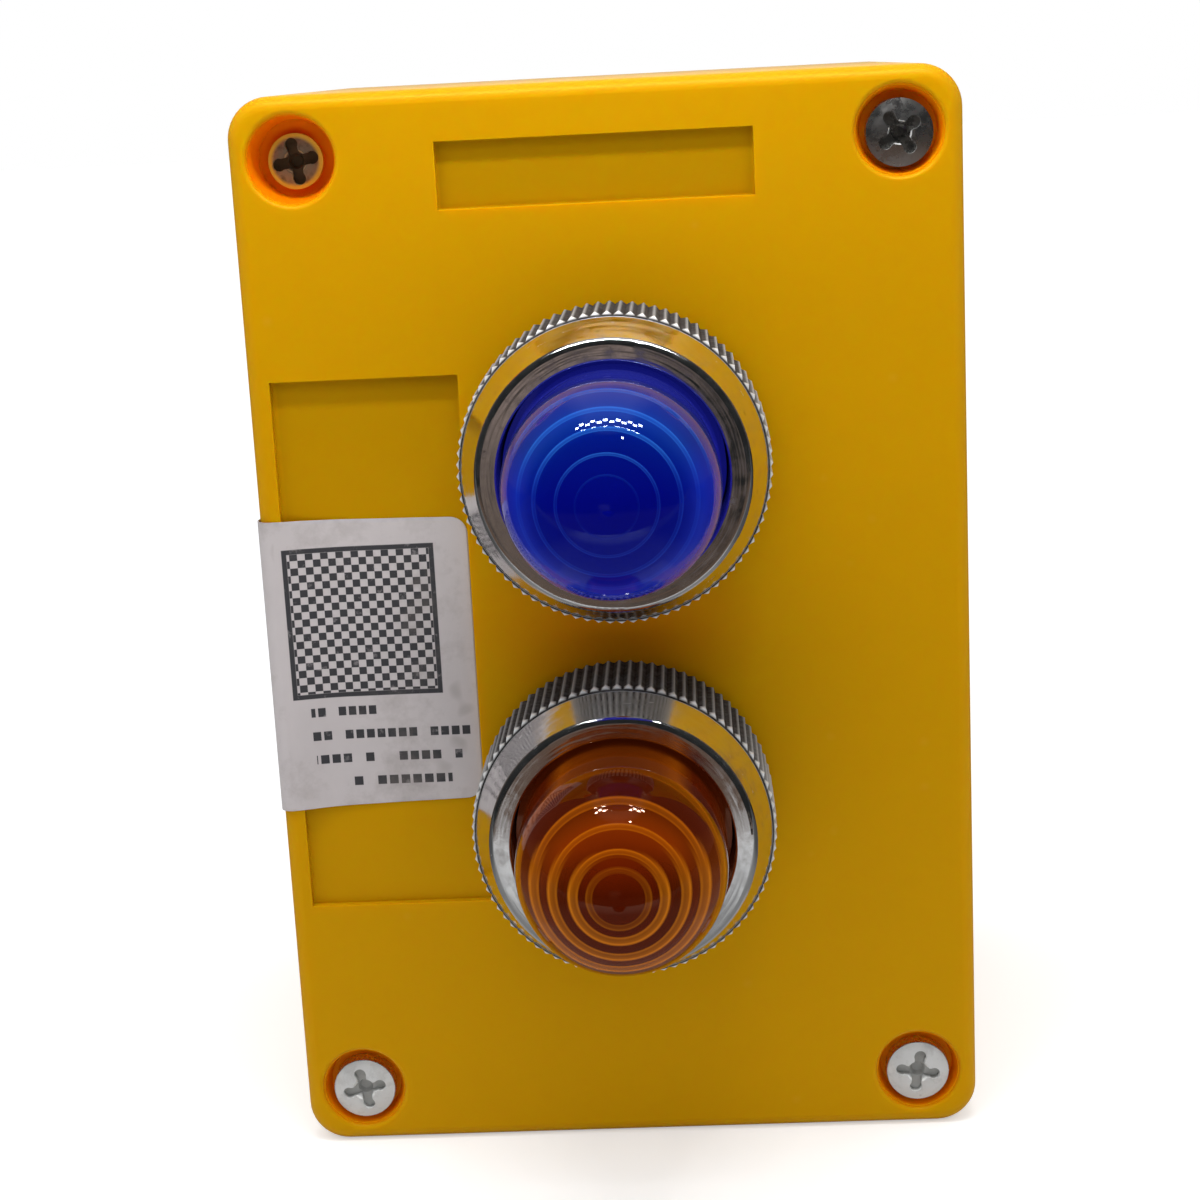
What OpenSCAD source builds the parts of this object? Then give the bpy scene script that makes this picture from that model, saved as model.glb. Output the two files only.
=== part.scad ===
// Two-button control station: a moulded two-part box with a domed, illuminated
// blue pushbutton above an amber one, each in a knurled bezel.
// Every piece is drawn face up, with the box's rear face at z = 0, its long side
// along y and its front face at z = body_d. stand() then turns it upright, so
// that the front faces -Y, +Z is up and the origin is the rear face's centre.

/* [Enclosure] */
// Width across the front
body_w = 72; // [68:0.5:90]
// Height of the front
body_h = 111; // [108:0.5:140]
// Depth from the rear face to the front face
body_d = 62; // [62:0.5:80]
// Depth of the lid, out of the whole depth
lid_d = 16; // [13:0.5:18]
// Radius of the four long corners
corner_r = 4.2; // [4:0.1:6]
// Fillet round the front edge of the lid
front_fillet = 1.5; // [0.8:0.1:2]
// Fillet round the rear edge of the base
rear_fillet = 1; // [0.5:0.1:2]
// Thickness of the side walls
wall = 3; // [2.8:0.1:3.4]
// Thickness of the lid's front panel
panel_t = 2.5; // [2:0.1:3]
// Thickness of the base's floor
floor_t = 2.5; // [2:0.1:3]
// Depth of the chamfer that makes the seam line between lid and base
seam_chamfer = 0.3; // [0.1:0.05:0.5]

/* [Lid seal] */
// Distance from the outer side to the seal's groove
groove_inset = 0.9; // [0.8:0.05:1]
// Width of the groove
groove_w = 1.4; // [1.2:0.05:1.5]
// Depth of the groove in the base's rim
groove_d = 1.6; // [1.4:0.1:2]
// Thickness of the seal in the groove
seal_t = 1; // [0.7:0.05:1.1]
// Side clearance of the seal and of the lid's tongue in the groove
seal_gap = 0.1; // [0.05:0.01:0.15]

/* [Lid screws] */
// Distance from both sides of the box to the middle of each screw well
screw_inset = 6.2; // [6.2:0.1:6.8]
// How far the screws sit below the middle of their wells
screw_drop = 0.25; // [0:0.05:0.3]
// Radius of a screw well at the front face, inside its rounded mouth
well_r = 4.4; // [4.2:0.1:4.5]
// Radius of the well at its floor
well_floor_r = 3.8; // [3.7:0.05:4]
// Depth of the three like screws' wells below the front face
well_d = 2.4; // [2.4:0.1:3.2]
// Depth of the odd screw's well
odd_well_d = 4.4; // [3.8:0.1:5]
// Rounding of the well's mouth
well_round = 0.5; // [0.2:0.05:0.6]
// Radius of a screw head
head_r = 3.3; // [3.1:0.05:3.6]
// Height of a screw head
head_h = 2.3; // [1.8:0.1:2.6]
// Radius of the odd screw's smaller head at the top left
odd_head_r = 2.75; // [2.5:0.05:3]
// Height of the odd screw's head
odd_head_h = 1.4; // [1.2:0.1:1.6]
// Height of the domed top of every screw head
head_dome = 0.5; // [0.3:0.05:0.9]
// Radius of the screw shanks
shank_r = 1.7; // [1.5:0.05:1.9]
// Length of the screws below their heads
screw_l = 22; // [18:0.5:26]
// Depth of the hole in the base's post past the end of a screw
screw_hole_spare = 3; // [1:0.5:5]
// Distance across the cross recess in a screw head
cross_w = 4.7; // [4:0.1:5]
// Width of each arm of the cross recess
cross_arm = 1.1; // [0.8:0.05:1.3]
// Radius of the round ends of the cross recess's arms
cross_end_r = 0.65; // [0.5:0.05:0.75]
// Depth of the cross recess
cross_d = 1.1; // [0.8:0.05:1.2]
// Radius of the cone that widens the middle of the cross recess
cross_cone_r = 1.25; // [0.9:0.05:1.4]
// Depth of that cone
cross_cone_d = 1.7; // [1.3:0.05:1.8]
// Radius of the screw posts in the lid and in the base
post_r = 5.4; // [5:0.1:5.6]
// Radial clearance of a shank in the lid's post
shank_gap = 0.5; // [0.2:0.05:0.7]
// Radial clearance of a shank in the base's post, for its thread
thread_gap = 0.05; // [0.02:0.01:0.08]

/* [Label recesses] */
// Width of the name recess at the top
name_w = 31.2; // [24:0.2:36]
// Height of the name recess
name_h = 6.6; // [5:0.1:9]
// Distance from the top of the box to the middle of the name recess
name_drop = 8.4; // [7:0.1:9]
// Width of the legend recess beside the buttons
legend_w = 19; // [14:0.1:19]
// Height of the legend recess
legend_h = 55.8; // [40:0.2:60]
// Distance from the left side of the box to the legend recess
legend_inset = 2.3; // [2:0.1:2.5]
// Height of the legend recess's middle from the middle of the front
legend_mid = -0.4; // [-3:0.1:3]
// Depth of both recesses
recess_d = 0.9; // [0.5:0.1:1.1]

/* [Buttons] */
// Sideways place of the blue button, from the middle of the front
blue_x = 0.9; // [-2:0.1:3]
// Sideways place of the amber button, from the middle of the front
amber_x = 0.1; // [-2:0.1:3]
// Height of the point midway between the buttons, from the middle of the front
button_mid = 0.8; // [-4:0.1:4]
// Distance between the two buttons' axes
button_pitch = 36.6; // [36:0.1:40]
// How far each button is pressed in
travel = 4; // [2:0.1:4]
// Radial running clearance of the sliding pieces
run_gap = 0.08; // [0.05:0.01:0.1]
// Gap left where a moving piece meets its stop
stop_gap = 0.05; // [0.02:0.01:0.08]

/* [Bezel] */
// Radius over the knurl's tips
bezel_r = 15.2; // [15:0.05:15.6]
// Number of knurl teeth
knurl_teeth = 84; // [60:2:100]
// Depth of the knurl
knurl_depth = 0.4; // [0.3:0.05:0.7]
// Height of the knurled band's top above the front face
band_top = 11.2; // [10:0.1:13]
// Bevel of both of the knurled band's edges
knurl_bevel = 0.3; // [0.1:0.05:0.4]
// Step from the roots of the knurl in to the foot of the outer cone
cone_step = 0.1; // [0.05:0.05:0.3]
// Height of the flat front ring above the knurled band
front_rise = 4.05; // [3.4:0.05:4.8]
// Outer radius of the rounded lip
lip_r = 13.25; // [12.8:0.05:13.8]
// Rounding of the lip, between the outer cone and the front ring
lip_round = 0.7; // [0.3:0.05:0.9]
// Radius of the bezel's round hole, where the lens comes through
bezel_hole_r = 11; // [10.9:0.05:11.4]
// Rounding of the edge of that hole
hole_round = 0.2; // [0.1:0.05:0.25]

/* [Lens] */
// Radius of the lens's dome and of its straight side
lens_r = 10.2; // [9.6:0.05:10.4]
// Radius of the lens's skirt
skirt_r = 10.75; // [10.6:0.05:10.8]
// Height of the skirt's top above the front face
skirt_top = 11; // [10:0.1:12]
// Height of the dome's crown above the front face
crown = 31.4; // [29:0.1:34]
// Wall of the lens's straight side
lens_wall = 1.5; // [1.2:0.1:1.65]
// Radius of the innermost moulded ring inside the dome
ring_r = 2.7; // [2:0.1:3]
// Spacing of the moulded rings
ring_step = 1.5; // [1.2:0.05:1.6]
// Number of moulded rings
rings = 4; // [3:1:4]

/* [Operator] */
// Radius of the hole in the lid for each button
hole_r = 11.15; // [11.1:0.05:11.25]
// Outer radius of the barrel
barrel_r = 11; // [10.9:0.05:11.05]
// Bore of the barrel, where the plunger slides
barrel_bore_r = 9.6; // [9.5:0.05:9.8]
// Length of the barrel behind the front face
barrel_l = 24; // [22:0.5:26]
// Radius of the barrel's threaded collar in the bezel
collar_r = 12.6; // [12.4:0.05:12.8]
// Height of the collar's top above the front face
collar_top = 8; // [7.5:0.1:8.5]
// Radius of the barrel's flange on the panel gasket
flange_r = 13.2; // [13:0.05:13.4]
// Thickness of the flange
flange_t = 2; // [1.5:0.1:2]
// Thickness of the panel gasket
gasket_t = 1; // [0.8:0.1:1.2]
// Outer radius of the panel gasket
gasket_r = 14.6; // [14:0.1:14.8]
// Width of the locating key on the barrel
key_w = 3.1; // [2.5:0.1:3.5]
// Radius out to the locating key's top
key_r = 12.4; // [12:0.1:12.6]
// Clearance all round the locating key
key_gap = 0.15; // [0.1:0.01:0.2]
// Radial clearance of the screwed pieces on their threads
screw_gap = 0.05; // [0.03:0.01:0.08]
// Thickness of the toothed lock washer
washer_t = 0.8; // [0.6:0.1:1]
// Radius over the lock washer's teeth
washer_r = 14; // [13.5:0.1:14.5]
// Number of teeth on the lock washer
washer_teeth = 24; // [16:2:30]
// Depth of the gaps between the lock washer's teeth
washer_notch = 1; // [0.6:0.1:1.4]
// Thickness of the locknut
nut_t = 4.5; // [4:0.1:5]
// Distance across the locknut's flats
nut_af = 28; // [27:0.5:30]
// Width of the flat ring that the chamfer leaves round the locknut's rear face
nut_bevel = 0.3; // [0.1:0.1:0.6]

/* [Plunger] */
// Height of the plunger head's underside above the front face, at rest
head_low = 6; // [6:0.1:6.2]
// Thickness of the plunger's head under the lens
plunger_head_t = 1.5; // [1.2:0.1:1.6]
// Height of the spigot that the lens is pressed on
spigot_h = 3.5; // [2.5:0.1:4]
// Length of the plunger's wide part below its head
slider_l = 14; // [12:0.5:14]
// Radius of the plunger's tail inside the spring
tail_r = 7.4; // [7.2:0.05:7.5]
// Length of the tail that stands out behind the barrel
tail_out = 2; // [1.8:0.1:2.4]
// Radius of the bore through the plunger, round the lamp holder
plunger_bore_r = 6.4; // [6.3:0.05:6.5]
// Thickness of the lip at the rear of the barrel, which carries the spring
rear_lip_t = 2; // [1.5:0.1:2.5]
// Thickness of the retaining clip
clip_t = 0.8; // [0.6:0.1:1]
// Outer radius of the retaining clip
clip_r = 8.8; // [8.4:0.1:9]
// Clearance round the clip where it enters the contact block
clip_room = 0.3; // [0.2:0.05:0.5]
// Depth of the clip's groove in the tail
clip_groove = 0.4; // [0.3:0.05:0.5]
// Radius of the return spring's wire
spring_wire = 0.5; // [0.4:0.05:0.6]
// Number of turns of the return spring
spring_turns = 5; // [4:1:6]
// Width of the opening in the retaining clip
clip_open = 7; // [5:0.5:9]

/* [Lamp] */
// Outer radius of the lamp holder's tube
holder_r = 5.9; // [5.6:0.05:5.95]
// Radius of the lamp's metal cap
cap_r = 4.6; // [4.4:0.05:4.8]
// Height of the lamp holder's mouth above the front face
holder_top = 4; // [2:0.1:5]
// Depth of the lamp's socket in the holder
socket_d = 12; // [10:0.5:14]
// Height of the cap's top above the holder's mouth
cap_out = 1.5; // [1:0.1:2]
// Radius of the lamp's glass bulb
bulb_r = 4.9; // [4:0.1:5]
// Height of the bulb above its cap
bulb_h = 15; // [12:0.1:16]
// Width of the lamp holder's foot, between the lamp's two terminals
foot_w = 14; // [13:0.5:16]
// Length of the lamp holder's foot
foot_l = 13; // [12:0.5:14]
// Height of the lamp holder's foot above the terminal shelf
foot_rise = 2; // [1:0.5:3]

/* [Contact block] */
// Width of the housing across the box
block_w = 28; // [27:0.5:30]
// Height of the housing along the box
block_l = 28; // [28:0.5:30]
// Wall of the housing
block_wall = 1.5; // [1.2:0.1:1.6]
// Depth of the housing behind the mounting collar
block_d = 24; // [24:0.5:25]
// Thickness of the rear cover
cover_t = 1.5; // [1.2:0.1:1.5]
// Height that the rear cover's plug reaches into the housing
cover_plug = 1.5; // [1:0.1:2]
// Clearance round the rear cover's plug
cover_gap = 0.1; // [0.05:0.01:0.15]
// Reach of the terminal shelf beyond the housing's side
shelf_w = 7; // [6.5:0.1:8]
// Height of the terminal shelf
shelf_h = 6; // [5:0.1:6]
// Outer radius of the mounting collar
mount_r = 13.2; // [13:0.1:14]
// Length of the mounting collar
mount_l = 8; // [6:0.5:9]
// Reach of the collar's release lever
lever_l = 4; // [3:0.5:6]
// Width of the release lever
lever_w = 5; // [4:0.5:7]
// Thickness of the release lever
lever_t = 2; // [1.5:0.1:3]
// Outer radius of the carrier's ring under the plunger
carrier_r = 8; // [7.6:0.1:8.4]
// Clearance between the carrier's ring and the lamp holder
carrier_gap = 0.4; // [0.2:0.05:0.6]
// Distance from the block's top to the underside of the carrier's arm
arm_drop = 7; // [6:0.1:7.5]
// Thickness of the carrier's arm
arm_t = 2; // [1.5:0.1:2.5]
// Distance from the block's top to the closed contacts
closed_drop = 10; // [9.5:0.1:10.5]
// Distance from the block's top to the open contacts' bridge, at rest
open_drop = 12; // [11.5:0.1:12.2]
// Distance from the lamp's axis to each contact bridge
bridge_off = 9.6; // [9.5:0.05:9.7]
// Half length of a contact bridge
bridge_half = 9; // [8.5:0.1:9.5]
// Width of a contact bridge
bridge_w = 2.6; // [2.2:0.1:2.8]
// Thickness of a contact bridge
bridge_t = 1; // [0.8:0.1:1.2]
// Length over which a contact bridge laps a strip
contact_lap = 2.5; // [2:0.1:3]
// Wall beside the bridge in the carrier's window
stem_wall = 0.8; // [0.6:0.05:0.8]
// Thickness of the bar that closes a window at the stem's foot
stem_foot = 1.5; // [1:0.1:2]
// Width of the carrier's stems
stem_w = 4; // [3:0.1:4.5]
// Clearance beside a bridge in its window and round a strip in its slot
slot_gap = 0.1; // [0.05:0.05:0.2]
// Room above the closed contacts in the carrier's window
window_spare = 0.8; // [0.5:0.1:1.2]
// Thickness of the contact strips
strip_t = 0.8; // [0.6:0.1:1]
// Width of the contact strips
strip_w = 4; // [3:0.1:4]
// Distance from a strip's outer end to the end of its shelf
strip_inset = 0.5; // [0.3:0.1:1]
// Length of a contact spring
contact_spring_l = 3.4; // [3:0.1:3.5]
// Radius of a contact spring, to the middle of its wire
contact_spring_r = 1; // [0.8:0.05:1.05]
// Radius of a contact spring's wire
contact_spring_wire = 0.22; // [0.15:0.01:0.25]
// Number of turns of a contact spring
contact_spring_turns = 4; // [3:1:5]
// Radius of a terminal screw's head
term_r = 1.9; // [1.6:0.1:2]
// Height of a terminal screw's head
term_h = 1.6; // [1.2:0.1:2]
// Radius of a terminal screw's shank
term_shank_r = 1.2; // [1:0.05:1.3]
// Depth that a terminal screw reaches into the shelf
term_l = 4; // [3:0.1:5]
// Radial clearance of a terminal screw in its strip
term_gap = 0.1; // [0.05:0.05:0.2]
// Radial clearance of a terminal screw in the shelf, for its thread
term_thread_gap = 0.02; // [0.01:0.01:0.05]
// Width of the slot in a terminal screw's head
term_slot_w = 0.6; // [0.4:0.1:0.8]
// Depth of the slot in a terminal screw's head
term_slot_d = 0.7; // [0.4:0.1:1]
// Height of the barriers between the terminals
barrier_h = 4; // [3:0.5:5]
// Thickness of the barriers
barrier_t = 1; // [0.8:0.1:1.4]

/* [Mounting and cable] */
// Spacing of the rear mounting holes across the box
mount_x = 32; // [26:0.5:34]
// Spacing of the rear mounting holes along the box
mount_y = 90; // [84:0.5:92]
// Radius of the rear mounting holes
mount_hole_r = 2.25; // [1.8:0.05:2.6]
// Radius of the pad round each mounting hole
pad_r = 4.5; // [4:0.1:5]
// Height of the pads above the floor
pad_h = 2; // [1:0.1:3]
// Radius of the cable entry in the lower end wall
entry_r = 10.2; // [8:0.1:10.4]
// Height of the cable entry's axis above the rear face
entry_z = 22; // [18:0.5:28]
// Radius of the cable hole in the grommet
cable_r = 4; // [3:0.1:5]
// Width of the grommet's flanges beyond the entry
grommet_flange = 2; // [1.5:0.1:2.5]
// Depth of the pocket that takes the outer flange
pocket_d = 1.3; // [1.1:0.1:1.4]
// Clearance of the grommet in its pocket and below the end face
grommet_gap = 0.1; // [0.05:0.01:0.2]
// Thickness of the grommet's inner flange
inner_flange_t = 1.6; // [1.2:0.1:2.5]

/* [Hidden] */

$fn = 64;
// Overshoot of every cut past the face that it opens
cut = 1;
BLUE = 0;
AMBER = 1;
// Steps of a coil in one turn and sides of its wire
coil_steps = 20;
coil_sides = 8;
small_coil_steps = 12;
small_coil_sides = 6;
button_x = [blue_x, amber_x];
button_y = [button_mid + button_pitch / 2, button_mid - button_pitch / 2];
lens_colour = ["royalblue", "darkorange"];

// Box
base_d = body_d - lid_d;
screw_x = body_w / 2 - screw_inset;
screw_y = body_h / 2 - screw_inset;
tongue_h = groove_d - seal_t;
well_top = body_d - well_d;
odd_well_top = body_d - odd_well_d;
// The middle of every screw well, on the level of its floor
screw_seats = [for (x = [-1, 1], y = [-1, 1])
  [x * screw_x, y * screw_y, x < 0 && y > 0 ? odd_well_top : well_top]];
// The three like screws, as [x side, y side, turn of the cross]
like_screws = [[1, 1, 34], [1, -1, -9], [-1, -1, 13]];
odd_screw_turn = 10;

// Levels of a button, measured from the front face
panel_back = -panel_t;
bezel_low = gasket_t;
flange_top = gasket_t + flange_t;
front_top = band_top + front_rise;
ledge = head_low - travel - stop_gap;
head_top = head_low + plunger_head_t;
lens_inner_r = lens_r - lens_wall;
dome_mid = crown - lens_r;
slider_low = head_low - slider_l;
tail_low = -barrel_l - tail_out;
rear_lip_top = -barrel_l + rear_lip_t;
spring_r = (barrel_bore_r + tail_r) / 2;
clip_top = -barrel_l - stop_gap;
socket_low = holder_top - socket_d;
cap_top = holder_top + cap_out;

// Levels of the contact block, measured from the front face
block_top = tail_low;
block_low = block_top - block_d;
shelf_top = block_low + shelf_h;
strip_low = shelf_top;
carrier_hole_r = holder_r + carrier_gap;
arm_low = block_top - arm_drop;
closed_level = block_top - closed_drop;
closed_bridge_low = closed_level - stop_gap - bridge_t;
open_bridge_low = block_top - open_drop;
open_level = open_bridge_low - travel - stop_gap;
window_w = bridge_w + 2 * slot_gap;
stem_l = window_w + 2 * stem_wall;
foot_top = shelf_top + foot_rise;
term_x = block_w / 2 + shelf_w / 2;
term_rows = [-bridge_off, 0, bridge_off];
strip_leg_x = block_w / 2 + slot_gap;
strip_end_x = block_w / 2 + shelf_w - strip_inset;

module stand() {
  rotate([90, 0, 0]) children();
}

module at_button(i) {
  translate([button_x[i], button_y[i], body_d]) children();
}

// A flat ring or a disc between two levels
module ring(outer_r, inner_r, low, high) {
  translate([0, 0, low]) difference() {
    cylinder(r = outer_r, h = high - low);
    if (inner_r > 0) translate([0, 0, -cut]) cylinder(r = inner_r, h = high - low + 2 * cut);
  }
}

// A block centred on x and y, between two levels
module block(w, l, low, high) {
  translate([-w / 2, -l / 2, low]) cube([w, l, high - low]);
}

module rounded_outline(w, l, r) {
  square([w - 2 * r, l], center = true);
  square([w, l - 2 * r], center = true);
  for (x = [-1, 1], y = [-1, 1]) translate([x * (w / 2 - r), y * (l / 2 - r)]) circle(r);
}

// The box's outline drawn in by a distance, between two levels
module inset_slab(inset, low, high) {
  translate([0, 0, low]) linear_extrude(high - low)
    rounded_outline(body_w - 2 * inset, body_h - 2 * inset, corner_r - inset);
}

// Half of a section with a fillet at its upper outer corner
module filleted_half(half, h, fillet) {
  difference() {
    square([half, h]);
    translate([half - fillet, h - fillet]) square(fillet + cut);
  }
  translate([half - fillet, h - fillet]) intersection() {
    circle(fillet);
    square(fillet);
  }
}

module filleted_bar(w, l, h, fillet) {
  translate([0, l / 2, 0]) rotate([90, 0, 0]) linear_extrude(l)
    for (side = [0, 1]) mirror([side, 0]) filleted_half(w / 2, h, fillet);
}

// The box's outline as a solid whose upper edge is filleted all round
module filleted_slab(h, fillet) {
  filleted_bar(body_w, body_h - 2 * corner_r, h, fillet);
  rotate([0, 0, 90]) filleted_bar(body_h, body_w - 2 * corner_r, h, fillet);
  for (x = [-1, 1], y = [-1, 1])
    translate([x * (body_w / 2 - corner_r), y * (body_h / 2 - corner_r), 0])
      rotate_extrude() filleted_half(corner_r, h, fillet);
}

// The seam's chamfer, as the ring that it cuts off the rim below a level
module seam_cut(level) {
  difference() {
    inset_slab(-cut, level - seam_chamfer, level + cut);
    inset_slab(seam_chamfer, level - seam_chamfer - cut, level + 2 * cut);
  }
}

module at_screws() {
  for (x = [-1, 1], y = [-1, 1]) translate([x * screw_x, y * screw_y - screw_drop, 0]) children();
}

module at_mounts() {
  for (x = [-1, 1], y = [-1, 1]) translate([x * mount_x / 2, y * mount_y / 2, 0]) children();
}

// Section of a screw well, with its mouth rounded into the front face
module well_section(depth) {
  polygon([[0, 0], [well_floor_r, 0], [well_r, depth], [0, depth]]);
  translate([0, depth - well_round]) difference() {
    square([well_r + well_round, well_round + cut]);
    translate([well_r + well_round, 0]) circle(well_round);
  }
}

module base() color("gold") stand() difference() {
  union() {
    difference() {
      translate([0, 0, base_d]) mirror([0, 0, 1]) filleted_slab(base_d, rear_fillet);
      inset_slab(wall, floor_t, base_d + cut);
    }
    at_screws() cylinder(r = post_r, h = base_d);
    at_mounts() ring(pad_r, 0, floor_t / 2, floor_t + pad_h);
  }
  seam_cut(base_d);
  difference() {
    inset_slab(groove_inset, base_d - groove_d, base_d + cut);
    inset_slab(groove_inset + groove_w, base_d - groove_d - cut, base_d + 2 * cut);
  }
  for (seat = screw_seats) translate([seat[0], seat[1] - screw_drop, 0])
    ring(shank_r + thread_gap, 0, seat[2] - screw_l - screw_hole_spare, base_d + cut);
  at_mounts() ring(mount_hole_r, 0, -cut, floor_t + pad_h + cut);
  translate([0, -body_h / 2 - cut, entry_z]) rotate([-90, 0, 0]) {
    cylinder(r = entry_r, h = wall + 2 * cut);
    cylinder(r = entry_r + grommet_flange, h = pocket_d + cut);
  }
}

module lid_shell() difference() {
  translate([0, 0, base_d]) filleted_slab(lid_d, front_fillet);
  inset_slab(wall, base_d - cut, body_d - panel_t);
}

module tongue() difference() {
  inset_slab(groove_inset + seal_gap, base_d - tongue_h, base_d + tongue_h);
  inset_slab(groove_inset + groove_w - seal_gap, base_d - tongue_h - cut, base_d + tongue_h + cut);
}

module button_hole() {
  translate([0, 0, -panel_t - cut]) {
    cylinder(r = hole_r, h = panel_t + 2 * cut);
    translate([-key_w / 2 - key_gap, 0, 0]) cube([key_w + 2 * key_gap, key_r + key_gap, panel_t + 2 * cut]);
  }
}

module label_recess(w, h, x, y) {
  translate([x - w / 2, y - h / 2, body_d - recess_d]) cube([w, h, recess_d + cut]);
}

module lid() color("gold") stand() difference() {
  union() {
    lid_shell();
    tongue();
    at_screws() translate([0, 0, base_d]) cylinder(r = post_r, h = lid_d - panel_t);
  }
  for (seat = screw_seats) translate(seat) rotate_extrude() well_section(body_d - seat[2]);
  at_screws() translate([0, 0, base_d - cut]) cylinder(r = shank_r + shank_gap, h = lid_d);
  for (i = [BLUE, AMBER]) at_button(i) button_hole();
  label_recess(name_w, name_h, 0, body_h / 2 - name_drop);
  label_recess(legend_w, legend_h, legend_inset + (legend_w - body_w) / 2, legend_mid);
}

module lid_seal() color("dimgray") stand() difference() {
  inset_slab(groove_inset + seal_gap, base_d - groove_d, base_d - tongue_h);
  inset_slab(groove_inset + groove_w - seal_gap, base_d - groove_d - cut, base_d);
}

// A screw whose domed head stands on the well's floor
module lid_screw(r, h, turn) {
  dome_r = (r * r + head_dome * head_dome) / head_dome / 2;
  difference() {
    union() {
      cylinder(r = r, h = h - head_dome);
      translate([0, 0, h - head_dome]) intersection() {
        cylinder(r = r, h = head_dome);
        translate([0, 0, head_dome - dome_r]) sphere(dome_r);
      }
      ring(shank_r, 0, -screw_l, 0);
    }
    rotate([0, 0, turn]) translate([0, 0, h]) for (arm = [0 : 90 : 270]) rotate([0, 0, arm]) {
      translate([0, -cross_arm / 2, -cross_d]) cube([cross_w / 2 - cross_end_r, cross_arm, cross_d + cut]);
      translate([cross_w / 2 - cross_end_r, 0, 0]) ring(cross_end_r, 0, -cross_d, cut);
    }
    translate([0, 0, h - cross_cone_d]) cylinder(r1 = cross_arm / 2, r2 = cross_cone_r, h = cross_cone_d);
  }
}

module lid_screws() color("silver") stand()
  for (s = like_screws)
    translate([s[0] * screw_x, s[1] * screw_y - screw_drop, well_top]) lid_screw(head_r, head_h, s[2]);

module odd_lid_screw() color("darkgoldenrod") stand()
  translate([-screw_x, screw_y - screw_drop, odd_well_top]) lid_screw(odd_head_r, odd_head_h, odd_screw_turn);

module cable_grommet() color("dimgray") stand()
  translate([0, -body_h / 2 + grommet_gap, entry_z]) rotate([-90, 0, 0]) difference() {
    union() {
      cylinder(r = entry_r + grommet_flange - grommet_gap, h = pocket_d - grommet_gap);
      cylinder(r = entry_r - grommet_gap, h = wall);
      translate([0, 0, wall - grommet_gap])
        cylinder(r1 = entry_r + grommet_flange - grommet_gap, r2 = entry_r - grommet_gap, h = inner_flange_t);
    }
    translate([0, 0, -cut]) cylinder(r = cable_r, h = wall + inner_flange_t + 2 * cut);
  }

// Star outline of the knurl
module knurl_outline() {
  half_tooth = 180 / knurl_teeth;
  polygon([for (i = [0 : 2 * knurl_teeth - 1])
    let (r = bezel_r - knurl_depth * (i % 2)) [r * cos(i * half_tooth), r * sin(i * half_tooth)]]);
}

// Section of the bezel: the band, the outer cone, the rounded lip, the flat front ring and the thread
module bezel_section() {
  lip_mid = [lip_r - lip_round, front_top - lip_round];
  edge_mid = [bezel_hole_r + hole_round, front_top - hole_round];
  cone_foot = [bezel_r - knurl_depth - cone_step, band_top + knurl_bevel / 2];
  // The cone's line runs from its foot, tangent to the lip's circle
  to_lip = lip_mid - cone_foot;
  cone_normal = atan2(to_lip[1], to_lip[0]) - asin(lip_round / norm(to_lip)) - 90;
  cone_end = lip_mid + lip_round * [cos(cone_normal), sin(cone_normal)];
  polygon([
    [flange_r + screw_gap, bezel_low], [bezel_r - knurl_bevel, bezel_low], [bezel_r, bezel_low + knurl_bevel],
    [bezel_r, band_top - knurl_bevel], [bezel_r - knurl_bevel, band_top], cone_foot, cone_end, lip_mid,
    [lip_mid[0], front_top], [edge_mid[0], front_top], edge_mid, [bezel_hole_r, edge_mid[1]],
    [bezel_hole_r, collar_top], [collar_r + screw_gap, collar_top],
    [collar_r + screw_gap, flange_top + screw_gap], [flange_r + screw_gap, flange_top + screw_gap]
  ]);
  translate(lip_mid) circle(lip_round);
  translate(edge_mid) circle(hole_round);
}

module bezel(i) color("silver") stand() at_button(i) intersection() {
  translate([0, 0, -cut]) linear_extrude(front_top + 2 * cut) knurl_outline();
  rotate_extrude() bezel_section();
}

module key(gap, low, high) {
  translate([-key_w / 2 - gap, 0, low]) cube([key_w + 2 * gap, key_r + gap, high - low]);
}

module panel_gasket(i) color("black") stand() at_button(i) difference() {
  ring(gasket_r, hole_r, 0, gasket_t);
  key(key_gap, -cut, gasket_t + cut);
}

module barrel(i) color("dimgray") stand() at_button(i) difference() {
  union() {
    ring(barrel_r, 0, -barrel_l, collar_top);
    ring(flange_r, 0, gasket_t, flange_top);
    ring(collar_r, 0, gasket_t, collar_top);
    key(0, panel_back + key_gap, flange_top);
  }
  ring(skirt_r + run_gap, 0, ledge, collar_top + cut);
  ring(barrel_bore_r, 0, rear_lip_top, ledge + cut);
  ring(tail_r + run_gap, 0, -barrel_l - cut, ledge);
}

module lock_washer(i) color("silver") stand() at_button(i)
  translate([0, 0, panel_back - washer_t]) linear_extrude(washer_t) difference() {
    half_tooth = 180 / washer_teeth;
    polygon([for (k = [0 : 2 * washer_teeth - 1])
      let (r = washer_r - washer_notch * (k % 2)) [r * cos(k * half_tooth), r * sin(k * half_tooth)]]);
    circle(barrel_r + screw_gap);
  }

module locknut(i) color("silver") stand() at_button(i) difference() {
  nut_top = panel_back - washer_t;
  corner = nut_af / 2 / cos(30);
  intersection() {
    translate([0, 0, nut_top - nut_t]) cylinder(r = corner, h = nut_t, $fn = 6);
    translate([0, 0, nut_top - nut_t])
      cylinder(r1 = nut_af / 2 + nut_bevel, r2 = nut_af / 2 + nut_bevel + nut_t, h = nut_t);
  }
  translate([0, 0, nut_top - nut_t - cut]) cylinder(r = barrel_r + screw_gap, h = nut_t + 2 * cut);
}

// The moulded rings step down inside the dome from its crown to its side
function ring_edge(k) = ring_r + k * ring_step;
function inner_level(r) = dome_mid + sqrt(pow(lens_inner_r, 2) - pow(r, 2));

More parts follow.
